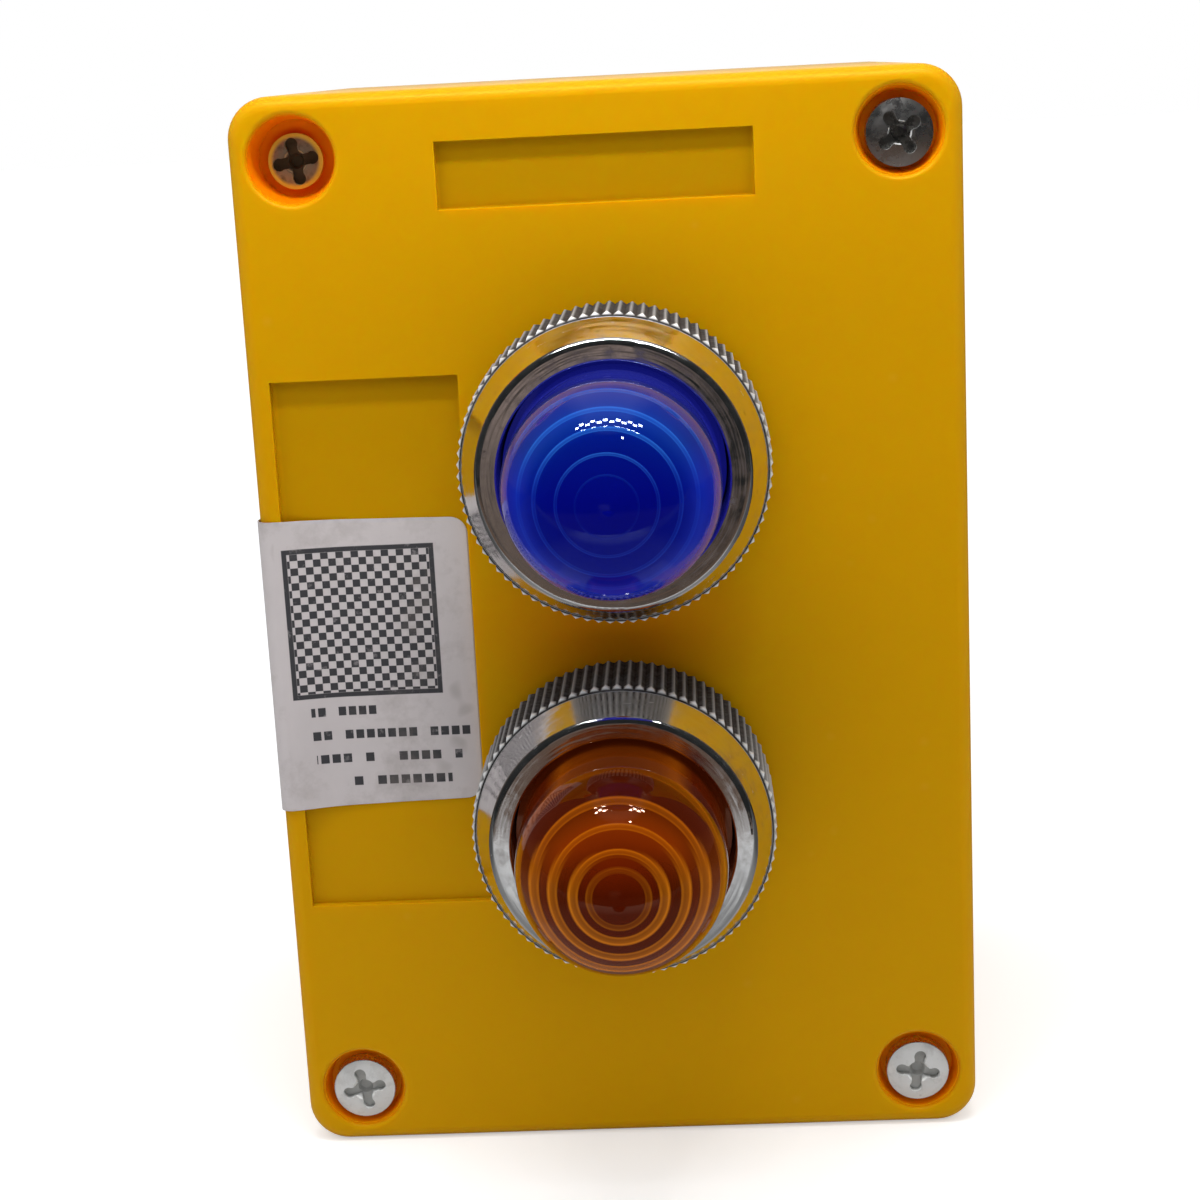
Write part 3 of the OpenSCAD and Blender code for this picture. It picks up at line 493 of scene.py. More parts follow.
def mirrored_room(tree, way):
    """What polished surfaces mirror: dark ahead with dim warm parts, and a wall behind with a pale middle."""
    not_far = ramp(tree, way["X"], -0.22, -0.15)
    left = product(tree, ramp(tree, way["X"], 0.0, -0.09), not_far, ramp(tree, way["Z"], -0.04, -0.1))
    ahead = mix_colour(tree, left, (0.016, 0.017, 0.017), (0.16, 0.125, 0.105))
    band = product(tree, ramp(tree, way["Z"], -0.165, -0.13), ramp(tree, way["Z"], -0.06, -0.09),
                   not_far, ramp(tree, way["X"], 0.015, -0.02))
    ahead = mix_colour(tree, band, ahead, (0.26, 0.2, 0.18))
    below = ramp(tree, way["Z"], -0.2, -0.25)
    ahead = mix_colour(tree, below, ahead, (0.12, 0.08, 0.06))
    overhead = ramp(tree, way["Z"], 0.92, 0.96)
    ahead = mix_colour(tree, overhead, ahead, (0.4, 0.42, 0.45))
    upper_wall = ramp(tree, way["Z"], 0.3, 0.45)
    wall = mix_colour(tree, upper_wall, (1.0, 1.0, 1.0), (0.56, 0.47, 0.4))
    sideways = ramp(tree, math_node(tree, "ABSOLUTE", way["X"]), 0.25, 0.45)
    wall = mix_colour(tree, sideways, wall, (0.09, 0.07, 0.06))
    return mix_colour(tree, ramp(tree, way["Y"], 0.02, 0.2), ahead, wall)


def room_world(level):
    """The room round the box, which shows plain white to the camera."""
    world = bpy.data.worlds.new("studio")
    world.use_nodes = True
    tree = world.node_tree
    tree.nodes.clear()
    way = add(tree, "SeparateXYZ", {0: add(tree, "TexCoord").outputs["Generated"]}).outputs
    path = add(tree, "LightPath").outputs
    sharp = most(tree, path["Is Glossy Ray"], path["Is Transmission Ray"])
    room = mix_colour(tree, sharp, soft_room(tree, way), mirrored_room(tree, way))
    shade = add(tree, "Background", {"Color": room, "Strength": level})
    white = add(tree, "Background", {"Color": (1, 1, 1), "Strength": 1.0})
    pick = add(tree, "MixShader", {0: path["Is Camera Ray"], 1: shade.outputs[0], 2: white.outputs[0]})
    add(tree, "OutputWorld", {"Surface": pick.outputs[0]})
    bpy.context.scene.world = world


# The row of small lamps above the box: how many, its width, its middle and how far they stand off its line
STRIP_LAMPS = 12
STRIP_WIDTH = 0.118
STRIP_X, STRIP_Y, STRIP_Z = 0.003, -0.1, 0.14
STRIP_ZIGZAG = 0.0025


class STATION_OT_stage(bpy.types.Operator):
    """Sets up the camera, the floor, the room and the lamps"""
    bl_idname = "station.stage"
    bl_label = "Stage"

    def execute(self, context):
        values = context.scene.station_stage
        scene = context.scene
        scene.view_settings.view_transform = "Standard"
        camera = bpy.data.objects.new("camera", bpy.data.cameras.new("camera"))
        scene.collection.objects.link(camera)
        camera.location = values.camera_place
        camera.rotation_euler = Euler(values.camera_turn)
        camera.data.lens = values.camera_lens
        camera.data.sensor_width = 36.0
        camera.data.clip_start = 0.01
        camera.data.clip_end = 20.0
        scene.camera = camera

        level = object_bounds()[0].z
        mesh = bpy.data.meshes.new("floor")
        front_edge, rear_edge, side = -0.192, 3.0, 2.5
        mesh.from_pydata([(-side, front_edge, level), (side, front_edge, level), (side, rear_edge, level),
                          (-side, rear_edge, level)], [], [(0, 1, 2, 3)])
        floor = bpy.data.objects.new("floor", mesh)
        scene.collection.objects.link(floor)
        mesh.materials.append(floor_material(values.floor_colour))
        floor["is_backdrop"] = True

        room_world(values.world_level)
        for index in range(STRIP_LAMPS):
            x = (index / (STRIP_LAMPS - 1) - 0.5) * STRIP_WIDTH + STRIP_X
            y = STRIP_Y + (STRIP_ZIGZAG if index % 2 else -STRIP_ZIGZAG)
            area_lamp(f"strip_{index}", (x, y, STRIP_Z), target=(x, y + 0.02, 0.0), size=(0.008, 0.006),
                      power=values.strip_power / STRIP_LAMPS)
        soft_lamp("low", (0.0, -0.2, -0.045), target=(0.0, FRONT, -0.03), size=(0.16, 0.03),
                  power=values.low_power)
        soft_lamp("high", (-0.075, -0.125, 0.1), target=(-0.02, FRONT, 0.04), size=(0.05, 0.05),
                  power=values.high_power)
        area_lamp("round", (0.033, -0.145, 0.142), target=(0.0, FRONT, 0.0), size=(0.006, 0.006),
                  power=values.round_power, shape="DISK")
        return {"FINISHED"}


# Enclosure

def screw_axes():
    """Distance of the screw wells' middles from both middle planes, and how far the screws sit below them."""
    odd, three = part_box("odd_lid_screw"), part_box("lid_screws")
    upper = (odd[0].z + odd[1].z) / 2
    lower = three[0].z + three[1].z - upper
    return abs(odd[0].x + odd[1].x) / 2, (upper - lower) / 2, -(upper + lower) / 2


def screw_radius(tree, well=False):
    """Distance from the nearest lid screw's axis, or from its well's, and the separated point."""
    aside, above, drop = screw_axes()
    point = place_parts(tree)
    across = minus(tree, math_node(tree, "ABSOLUTE", point["X"]), aside)
    lifted = plus(tree, point["Z"], 0.0 if well else drop)
    upward = minus(tree, math_node(tree, "ABSOLUTE", lifted), above)
    return hypotenuse(tree, across, upward), point


# Left, right, low and high edges of the two recesses whose floors are painted darker as shade, in mm
NAME_RECESS = (-15.4, 15.4, 43.9, 50.3)
LEGEND_RECESS = (-33.2, -14.9, -28.0, 27.3)


def painted_well_glow(tree):
    """Painted glow: a brighter orange painted on the walls round the screw wells, standing in for light that
    soaks through the plastic.
    """
    radius, point = screw_radius(tree, well=True)
    near = ramp(tree, radius, 5.0 * MM, 4.5 * MM)
    deep = ramp(tree, point["Y"], FRONT + 0.1 * MM, FRONT + 0.9 * MM, 0.0, 0.9)
    return product(tree, near, deep), (0.85, 0.2, 0.0)


def painted_recess_shade(tree):
    """Painted shade: slightly darker floors of the name recess and of the legend recess's upper part."""
    point = place_parts(tree)
    name = in_box(tree, point, NAME_RECESS, 0.3)
    legend = in_box(tree, point, LEGEND_RECESS, 0.3)
    legend = product(tree, legend, ramp(tree, point["Z"], -5.0 * MM, 27.0 * MM, 0.2, 0.8))
    sunk = ramp(tree, point["Y"], FRONT + 0.2 * MM, FRONT + 0.6 * MM)
    return product(tree, most(tree, name, legend), sunk), (0.44, 0.225, 0.0004)


def painted_warm_shadow(tree):
    """Painted shade and light: a warm reddish tone painted on the panel between the bezels, for their shade
    there and the lenses' warm light on it.
    """
    point = place_parts(tree)
    away = hypotenuse(tree, product(tree, point["X"], 0.7), minus(tree, point["Z"], 1.0 * MM))
    return ramp(tree, away, 11.0 * MM, 3.0 * MM, 0.0, 0.5), (0.6, 0.12, 0.001)


def coloured(mask, colour):
    """An accent from a mask's function and a colour."""
    return lambda tree: (mask(tree), colour)


def painted_cross_shade(node_name, reach, colour, strength):
    """Painted shade on the floor of a cross recess that reaches so many mm from the screw's axis: a darker
    colour there.
    """
    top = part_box(node_name)[0].y

    def accent(tree):
        radius, point = screw_radius(tree)
        near = ramp(tree, radius, (reach + 0.1) * MM, reach * MM)
        deep = ramp(tree, point["Y"], top + 0.45 * MM, top + 0.95 * MM, 0.0, strength)
        return product(tree, near, deep), colour
    return accent


# Height of the screws' domed heads and radius of the lower heads' flat face, in mm
HEAD_DOME = 0.5
HEAD_FACE = 3.2


def cross_edge_wear_and_glint(node_name):
    """Mask of the rubbed edges round a cross recess, just below the head's dome, which are painted pale both
    as wear and as a painted highlight.
    """
    low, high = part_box(node_name)
    head = (abs(low.x) if node_name == "odd_lid_screw" else high.x) - screw_axes()[0]
    dome = (head ** 2 + (HEAD_DOME * MM) ** 2) / (HEAD_DOME * MM)

    def mask(tree):
        radius, point = screw_radius(tree)
        curve = math_node(tree, "DIVIDE", math_node(tree, "POWER", radius, 2.0), dome)
        below = minus(tree, minus(tree, point["Y"], low.y), curve)
        return product(tree, ramp(tree, below, 0.02 * MM, 0.06 * MM), ramp(tree, below, 0.38 * MM, 0.26 * MM),
                       ramp(tree, radius, head - 0.3 * MM, head - 0.4 * MM))
    return mask


def bloom(tree):
    """Mask of a patchy dull bloom on old plating."""
    return ramp(tree, noise(tree, 600.0, 4.0, 0.6), 0.3, 0.6, 0.75, 1.0)


def frosted(tree):
    """Mask of the bloom on the heads of the two lower screws."""
    radius, point = screw_radius(tree)
    lower = ramp(tree, point["Z"], 0.01, -0.01)
    face = ramp(tree, radius, (HEAD_FACE + 0.07) * MM, HEAD_FACE * MM)
    return product(tree, bloom(tree), lower, face)


def tarnish(tree):
    """Darker plating on the upper screw."""
    return ramp(tree, place_parts(tree)["Z"], -0.01, 0.01, 0.0, 0.6), (0.3, 0.28, 0.27)


def odd_rim(tree):
    """Mask of the odd screw's rubbed rim."""
    radius, _ = screw_radius(tree)
    return ramp(tree, radius, 2.15 * MM, 2.5 * MM)


class STATION_OT_box(bpy.types.Operator):
    """Finishes the moulded box"""
    bl_idname = "station.box"
    bl_label = "Box"

    def execute(self, context):
        colour = context.scene.station_finish.box_colour
        # The lid's accents are painted light and shade: darker recess floors, a warm shade between the bezels
        # and an orange glow round the screw wells.
        for node, accents in (("base", ()), ("lid", (painted_recess_shade, painted_warm_shadow, painted_well_glow))):
            material = plastic(f"{node}_plastic", colour, roughness=0.36, specular=0.26, drift=0.05,
                               grain=0.000012, sheen_tint=(1.0, 0.9, 0.15), glow=0.5, accents=accents)
            even_normals(node)
            dress(node, material)
        return {"FINISHED"}


class STATION_OT_screws(bpy.types.Operator):
    """Finishes the lid's screws"""
    bl_idname = "station.screws"
    bl_label = "Lid screws"

    def execute(self, context):
        # The rubbed cross edges take a pale colour: partly wear, partly a painted highlight for their glints.
        edges, odd_edge_wear_and_glint = cross_edge_wear_and_glint("lid_screws"), cross_edge_wear_and_glint("odd_lid_screw")
        zinc = metal(
            "zinc_plate", (0.8, 0.8, 0.79), 0.24, stain=(0.35, 0.34, 0.31), stained=0.3,
            accents=(tarnish, painted_cross_shade("lid_screws", 2.6, (0.3, 0.3, 0.28), 0.65),
                     coloured(edges, (0.9, 0.9, 0.88))),
            dull=((frosted, 0.15, 0.6), (edges, 0.1, 0.6)))
        brassy = metal(
            "dull_brass_plate", (0.28, 0.26, 0.19), 0.36, stain=(0.07, 0.05, 0.03), stained=0.6,
            accents=(coloured(odd_rim, (0.7, 0.52, 0.05)),
                     painted_cross_shade("odd_lid_screw", 2.5, (0.1, 0.06, 0.025), 0.85),
                     coloured(odd_edge_wear_and_glint, (0.5, 0.42, 0.25))),
            dull=((bloom, 0.1, 0.35), (odd_rim, 0.2, 0.4), (odd_edge_wear_and_glint, 0.1, 0.4)))
        for node, material in (("lid_screws", zinc), ("odd_lid_screw", brassy)):
            even_normals(node)
            dress(node, material)
        return {"FINISHED"}


class STATION_OT_rubber(bpy.types.Operator):
    """Finishes the seals and the grommet"""
    bl_idname = "station.rubber"
    bl_label = "Rubber"

    def execute(self, context):
        material = plastic("seal_rubber", (0.02, 0.02, 0.02), roughness=0.75, specular=0.25, drift=0.2,
                           grain=0.00003)
        for node in ("lid_seal", "cable_grommet", "blue_panel_gasket", "amber_panel_gasket"):
            dress(node, material)
        return {"FINISHED"}


# Paper label

LABEL_THICK = 0.1
# Where the label runs, as (x, height over the front face) in mm: recess floor, its step, the margin
LABEL_RUN = ((-14.8, -0.84), (-20.0, -0.84), (-26.0, -0.83), (-28.5, -0.76), (-30.5, -0.58), (-32.2, -0.3),
             (-33.4, -0.02), (-34.0, 0.09), (-34.5, 0.14))
# Where it runs down the side, as (distance from the side, depth behind the front face) in mm
LABEL_SIDE = ((0.12, 1.6), (0.07, 2.4), (0.06, 4.0), (0.06, 7.2))
# Heights of its upper and lower edges at its right end and at its left end, in mm
LABEL_TOP = (12.9, 13.4)
LABEL_BOTTOM = (-17.1, -17.7)
LABEL_CORNER = 1.8
# Its gap over the box's fillet, how far it bulges there, and its ripple, in mm
LABEL_GAP, LABEL_BULGE, LABEL_RIPPLE = 0.14, 0.22, 0.025
# The fillet's radius and where the box's left side is, in mm
FILLET = 1.5
SIDE_X = -36.0


def label_path():
    """Points of the label's run from its right edge over the fillet and down the box's left side."""
    points = [Vector(p) for p in LABEL_RUN]
    centre = Vector((SIDE_X + FILLET, -FILLET))
    bends = 13
    for bend in range(1, bends):
        turn = math.radians(90 + 90 * bend / bends)
        reach = FILLET + LABEL_GAP + LABEL_BULGE * math.sin(math.pi * bend / bends)
        points.append(centre + reach * Vector((math.cos(turn), math.sin(turn))))
    points += [Vector((SIDE_X - lift, -depth)) for lift, depth in LABEL_SIDE]
    return points


def along(points, share):
    """The point at a share of a path's length."""
    lengths = [(b - a).length for a, b in zip(points, points[1:])]
    rest = share * sum(lengths)
    for a, b, reach in zip(points, points[1:], lengths):
        if rest <= reach or b is points[-1]:
            return a.lerp(b, min(1.0, rest / reach))
        rest -= reach


def label_mesh():
    """A thin sheet with rounded corners that lies in the recess and wraps round the left side."""
    points = label_path()
    reach = sum((b - a).length for a, b in zip(points, points[1:]))
    columns, rows = 150, 60
    mesh = bpy.data.meshes.new("label")
    work = bmesh.new()
    grid = []
    for row in range(rows + 1):
        v = (1 - math.cos(math.pi * row / rows)) / 2
        line = []
        for column in range(columns + 1):
            u = column / columns
            top = LABEL_TOP[0] + (LABEL_TOP[1] - LABEL_TOP[0]) * u
            bottom = LABEL_BOTTOM[0] + (LABEL_BOTTOM[1] - LABEL_BOTTOM[0]) * u
            from_end = min(v, 1 - v) * (top - bottom)
            within = max(0.0, LABEL_CORNER - from_end)
            inset = LABEL_CORNER - math.sqrt(max(0.0, LABEL_CORNER ** 2 - within ** 2))
            at = along(points, inset / reach + u * (1 - 2 * inset / reach))
            ripple = LABEL_RIPPLE * math.sin(at.x * 0.9 + v * 7.0) * math.sin(v * 11.0 + 1.0)
            z = bottom + (top - bottom) * v
            line.append(work.verts.new((at.x * MM, FRONT - (at.y + ripple) * MM, z * MM)))
        grid.append(line)
    for a, b in zip(grid, grid[1:]):
        for k in range(columns):
            work.faces.new((a[k], b[k], b[k + 1], a[k + 1]))
    for face in work.faces:
        face.smooth = True
    bmesh.ops.recalc_face_normals(work, faces=work.faces)
    work.to_mesh(mesh)
    work.free()
    return mesh


# The print's framed field as (left, right, low, high), its frame and checks, and its rows of dashes, in mm
FIELD = (-33.9, -18.4, -5.6, 10.3)
FRAME = 0.5
CHECK = 0.775
DASH_ROWS = ((-32.2, -22.6), (-33.0, -15.8), (-32.0, -16.8), (-29.4, -18.0))
DASH_TOP, DASH_PITCH, DASH_HEIGHT = -7.6, 2.55, 0.95


def label_print(tree, point):
    """Mask of the label's generic print: a framed field of plain checks over four rows of dashes."""
    left, right, low, high = FIELD
    outer = in_box(tree, point, FIELD)
    inner = in_box(tree, point, (left + FRAME, right - FRAME, low + FRAME, high - FRAME))
    waves = []
    for axis, start in (("X", left), ("Z", low)):
        along_axis = minus(tree, point[axis], start * MM)
        waves.append(math_node(tree, "SINE", product(tree, along_axis, math.pi / (CHECK * MM))))
    checks = ramp(tree, product(tree, *waves), -0.04, 0.04)
    total = most(tree, minus(tree, outer, inner), product(tree, inner, checks))
    for row, (start, end) in enumerate(DASH_ROWS):
        foot = DASH_TOP - DASH_PITCH * row
        cell = math_node(tree, "DIVIDE", point["X"], (1.05 + 0.06 * row) * MM)
        seed = plus(tree, math_node(tree, "FLOOR", cell), 31.0 * row)
        pick = add(tree, "TexWhiteNoise", {"W": seed}, noise_dimensions="1D").outputs["Value"]
        dash = product(tree, math_node(tree, "GREATER_THAN", pick, 0.2),
                       math_node(tree, "LESS_THAN", math_node(tree, "FRACT", cell), 0.74))
        line = in_box(tree, point, (start, end, foot, foot + DASH_HEIGHT))
        total = most(tree, total, product(tree, line, dash))
    return total


def label_paper(colour):
    """Soiled off-white paper with a generic print."""
    material, tree, principled = new_material("label_paper", Specular_IOR_Level=0.25)
    tone = effect(tree, "Tone drift", Colour=colour, Scale=70.0, Amount=0.12)["Colour"]
    worn = ramp(tree, noise(tree, 700.0, 4.0, 0.7), 0.26, 0.4, 0.6, 0.97)
    ink = product(tree, label_print(tree, place_parts(tree)), worn)
    tone = mix_colour(tree, ink, tone, (0.03, 0.03, 0.035))
    grime = ramp(tree, noise(tree, 110.0, 6.0, 0.7), 0.52, 0.75, 0.0, 0.5)
    rubs = effect(tree, "Scratches", Scale=60.0, Amount=0.6)["Mask"]
    grime = most(tree, grime, product(tree, rubs, 0.3))
    tone = mix_colour(tree, grime, tone, (0.2, 0.17, 0.15))
    skin = effect(tree, "Fine grain", Grain_scale=4000.0, Wave_scale=160.0, Wave_share=0.4)
    feed(tree, principled, Base_Color=tone, Roughness=ramp(tree, skin["Unevenness"], 0.3, 0.7, 0.5, 0.65))
    bump(tree, principled, skin["Height"], 0.00002)
    return material


class STATION_OT_label(bpy.types.Operator):
    """Makes the plain paper label"""
    bl_idname = "station.label"
    bl_label = "Paper label"

    def execute(self, context):
        mesh = label_mesh()
        label = bpy.data.objects.new("paper_label", mesh)
        context.scene.collection.objects.link(label)
        mesh.materials.append(label_paper(context.scene.station_finish.label_colour))
        thicken = label.modifiers.new("thickness", "SOLIDIFY")
        thicken.thickness = LABEL_THICK * MM
        thicken.offset = 0.0
        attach(label, "station")
        return {"FINISHED"}


# Buttons

def button_radius(tree, point, node_name, aside=0.0, lift=0.0):
    """Distance from a button's axis, or from a line beside and above it."""
    low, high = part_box(node_name)
    across = minus(tree, point["X"], (low.x + high.x) / 2 + aside)
    upward = minus(tree, point["Z"], (low.z + high.z) / 2 + lift)
    return hypotenuse(tree, across, upward)


# Colour of the dirt and painted shade on the bezels' knurls
KNURL_DIRT_AND_SHADE = (0.013, 0.01, 0.01)
# From the bezel's flat front ring back to the front of its teeth, in mm
TEETH_BACK = 4.05


def knurl_dirt_and_shade(node_name):
    """Mask of the knurl's grooves and, darkest on top, of its band behind the teeth's ends, painted dark:
    partly dirt, partly painted shade.
    """
    low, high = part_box(node_name)
    outer = (high.x - low.x) / 2
    middle = (low.z + high.z) / 2
    teeth = low.y + TEETH_BACK * MM

    def mask(tree):
        point = place_parts(tree)
        radius = button_radius(tree, point, node_name)
        groove = ramp(tree, radius, outer - 0.14 * MM, outer - 0.34 * MM)
        behind = ramp(tree, point["Y"], teeth + 0.35 * MM, teeth + 1.0 * MM)
        # Painted shade: the band is painted darker towards the top.
        darker_on_top = ramp(tree, point["Z"], middle - 2.0 * MM, middle + 9.0 * MM, 0.6, 0.99)
        tops = ramp(tree, radius, outer - 0.17 * MM, outer - 0.05 * MM, 1.0, 0.72)
        band = ramp(tree, radius, outer - 0.52 * MM, outer - 0.46 * MM)
        patchy = ramp(tree, noise(tree, 1400.0, 3.0, 0.6), 0.35, 0.6, 0.95, 1.0)
        dirt_and_shade = most(tree, groove, product(tree, behind, darker_on_top, tops))
        return product(tree, dirt_and_shade, band, patchy)
    return mask


def teeth_ends(node_name):
    """Mask of the knurl's front ends, rubbed matt."""
    low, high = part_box(node_name)
    outer = (high.x - low.x) / 2
    teeth = low.y + TEETH_BACK * MM

    def mask(tree):
        point = place_parts(tree)
        band = ramp(tree, button_radius(tree, point, node_name), outer - 0.55 * MM, outer - 0.45 * MM)
        return product(tree, band, ramp(tree, point["Y"], teeth - 0.1 * MM, teeth))
    return mask


def chrome_flaws(tree):
    """A few dark pits through the plating."""
    pits = effect(tree, "Specks", Scale=260.0, Size=0.16, Share=0.04)["Mask"]
    return ramp(tree, pits, 0.15, 0.4), (0.03, 0.03, 0.035)


def turning_marks(node_name):
    """Height of the faint uneven rings that turning and polishing left on a bezel."""
    def height(tree):
        point = place_parts(tree)
        across, upward = product(tree, point["X"], 0.22), product(tree, point["Z"], 0.22)
        outward = product(tree, button_radius(tree, point, node_name), 2.6)
        along_ring = add(tree, "CombineXYZ", {"X": across, "Y": outward, "Z": upward}).outputs[0]
        return noise(tree, 420.0, 2.0, 0.6, along_ring)
    return height


class STATION_OT_bezels(bpy.types.Operator):
    """Finishes the chromed bezels"""
    bl_idname = "station.bezels"
    bl_label = "Bezels"

    def execute(self, context):
        for colour in BUTTONS:
            node = f"{colour}_bezel"
            dirt_and_shade = knurl_dirt_and_shade(node)
            dress(node, metal(
                f"{colour}_chrome_plate", (0.8, 0.8, 0.8), 0.11, drift=0.04, stain=(0.22, 0.2, 0.18),
                stained=0.12, grain=0.000002, wear=0.6, accents=(coloured(dirt_and_shade, KNURL_DIRT_AND_SHADE), chrome_flaws),
                marks=turning_marks(node), mark_height=0.00004,
                dull=((teeth_ends(node), 0.3, 0.6), (dirt_and_shade, 0.6, 0.85))))
        return {"FINISHED"}


# Levels of a moulded ring's painted highlight across it, as (place from -1 at its inner edge to 1 at its
# outer one, level)
RING_LEVELS = ((-1.0, 0.0), (-0.75, 0.65), (-0.35, 0.3), (0.3, 0.45), (0.6, 1.0), (1.0, 0.0))


def ring_stops(rings, reach, width=1.0):
    """Stops of a mask of painted highlights at each moulded ring's two edges, the outer one brighter."""
    stops = [(0.0, (0, 0, 0))]
    for radius, half, share in rings:
        for at, level in RING_LEVELS:
            stops.append((radius + at * half * width, (share * level,) * 3))
    return stops + [(reach, (0, 0, 0))]


class LensLook(NamedTuple):
    """How a lens looks from in front, with its lengths in mm."""
    # Tones outward from the axis as (radius, colour), and their gain in the upper part's middle and rim,
    # which paints light and shade into the upper part
    body: tuple
    top_light_gain: tuple
    top_rim_light_gain: tuple
    # Rings' painted highlights as (radius, half of the width, how strongly it shows), and their share of that
    # width near the top
    rings: tuple
    top_width: float
    # The painted highlights' colour at the rings, their colour near the top, and how much of them shows
    # elsewhere
    line: tuple
    top_line: tuple
    side_share: float
    # Where the rings' middle shows, beside and above the axis, and how far the rings are raised
    aside: float
    lift: float
    ridge: float
    # A painted glow out of the skirt's root, and the tint of what the skin mirrors
    glow: tuple
    sheen: tuple


def lens_plastic(name, node_name, look, transmission):
    """Clear tinted plastic with moulded rings inside, which show a little above the axis from in front as
    painted highlights: bright lines in its colour at their radii.
    """
    material, tree, principled = new_material(name, Transmission_Weight=transmission, IOR=1.49,
                                              Specular_Tint=look.sheen, Emission_Strength=1.0)
    low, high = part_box(node_name)
    middle, half = (low.z + high.z) / 2, (high.z - low.z) / 2
    point = place_parts(tree)
    radius = button_radius(tree, point, node_name)
    # Painted light and shade: the upper part's middle and rim take their own gains, and the rings there their
    # own colour and width.
    upper = ramp(tree, point["Z"], middle + 1.0 * MM, middle + 5.0 * MM)
    rim = ramp(tree, radius, 7.0 * MM, 8.8 * MM)
    gain = mix_colour(tree, rim, look.top_light_gain, look.top_rim_light_gain)
    gain = mix_colour(tree, upper, (1, 1, 1), gain)
    tone = mix_colour(tree, 1.0, tone_steps(tree, radius, look.body), gain, "MULTIPLY")
    tone = effect(tree, "Tone drift", Colour=tone, Scale=60.0, Amount=0.05)["Colour"]
    # Painted highlights: bright lines at the moulded rings' radii, drawn a little above the axis, standing in
    # for the light the rings inside catch.
    inside = button_radius(tree, point, node_name, look.aside * MM, look.lift * MM)
    reach = look.body[-1][0]
    rings = mix_colour(tree, upper, tone_steps(tree, inside, ring_stops(look.rings, reach)),
                       tone_steps(tree, inside, ring_stops(look.rings, reach, look.top_width)))
    line = mix_colour(tree, upper, look.line, look.top_line)
    shown = product(tree, rings, ramp(tree, upper, 0.0, 1.0, look.side_share, 1.0))
    tone = mix_colour(tree, shown, tone, line)
    dust = effect(tree, "Specks", Scale=330.0, Size=0.12, Share=0.03)["Mask"]
    tone = mix_colour(tree, ramp(tree, dust, 0.2, 0.5, 0.0, 0.8), tone, (0.7, 0.72, 0.75))
    # Painted glow: the skirt's root shines a little of itself, standing in for light carried through the
    # plastic.
    skirt = product(tree, ramp(tree, radius, half - 1.2 * MM, half - 0.7 * MM),
                    ramp(tree, point["Y"], low.y + 9.0 * MM, low.y + 12.0 * MM))
    glow = mix_colour(tree, skirt, (0, 0, 0), look.glow)
    rubs = effect(tree, "Scratches", Scale=60.0, Amount=0.2)["Mask"]
    skin = effect(tree, "Fine grain", Grain_scale=2600.0, Wave_scale=120.0, Wave_share=0.8)
    rough = ramp(tree, skin["Unevenness"], 0.3, 0.7, 0.01, 0.03)
    rough = plus(tree, rough, product(tree, rubs, 0.015), clamp=True)
    feed(tree, principled, Base_Color=tone, Roughness=rough, Emission_Color=glow)
    ridges = add(tree, "Bump", {"Height": rings, "Distance": look.ridge * MM}).outputs[0]
    bump(tree, principled, skin["Height"], 0.0000008, under=ridges)
    return material


BLUE_LOOK = LensLook(
    body=((0.0, (0.001, 0.003, 0.28)), (4.4, (0.001, 0.003, 0.28)), (6.3, (0.001, 0.005, 0.3)),
          (7.2, (0.003, 0.012, 0.38)), (8.4, (0.01, 0.03, 0.55)), (9.7, (0.02, 0.025, 0.5)),
          (10.3, (0.03, 0.02, 0.34))),
    top_light_gain=(1.0, 2.2, 0.85), top_rim_light_gain=(0.7, 1.2, 0.6),
    rings=((2.8, 0.1, 0.25), (4.55, 0.17, 0.8), (6.55, 0.22, 0.9), (8.05, 0.22, 0.8), (9.35, 0.15, 0.5)),
    top_width=0.9, line=(0.02, 0.1, 0.9), top_line=(0.03, 0.2, 0.85), side_share=0.35,
    aside=-0.1, lift=0.3, ridge=0.012, glow=(0.003, 0.004, 0.08), sheen=(0.5, 0.65, 1.0))
AMBER_LOOK = LensLook(
    body=((0.0, (0.11, 0.008, 0.0005)), (2.3, (0.12, 0.01, 0.0005)), (3.4, (0.12, 0.01, 0.001)),
          (5.3, (0.11, 0.012, 0.001)), (6.9, (0.16, 0.02, 0.002)), (8.7, (0.22, 0.04, 0.004)),
          (10.3, (0.3, 0.06, 0.008))),
    top_light_gain=(2.1, 2.0, 0.6), top_rim_light_gain=(0.5, 0.25, 0.2),
    rings=((2.75, 0.36, 0.35), (4.25, 0.55, 0.95), (6.2, 0.55, 0.9), (8.0, 0.6, 0.9), (9.6, 0.32, 0.6)),
    top_width=0.5, line=(1.0, 0.3, 0.01), top_line=(0.85, 0.2, 0.004), side_share=1.0,
    aside=0.0, lift=0.6, ridge=0.02, glow=(0.015, 0.002, 0.0002), sheen=(1.0, 0.6, 0.42))


class STATION_OT_lenses(bpy.types.Operator):
    """Finishes the domed lenses"""
    bl_idname = "station.lenses"
    bl_label = "Lenses"

    def execute(self, context):
        dress("blue_lens", lens_plastic("blue_lens_clear", "blue_lens", BLUE_LOOK, 0.4))
        dress("amber_lens", lens_plastic("amber_lens_clear", "amber_lens", AMBER_LOOK, 0.45))
        return {"FINISHED"}


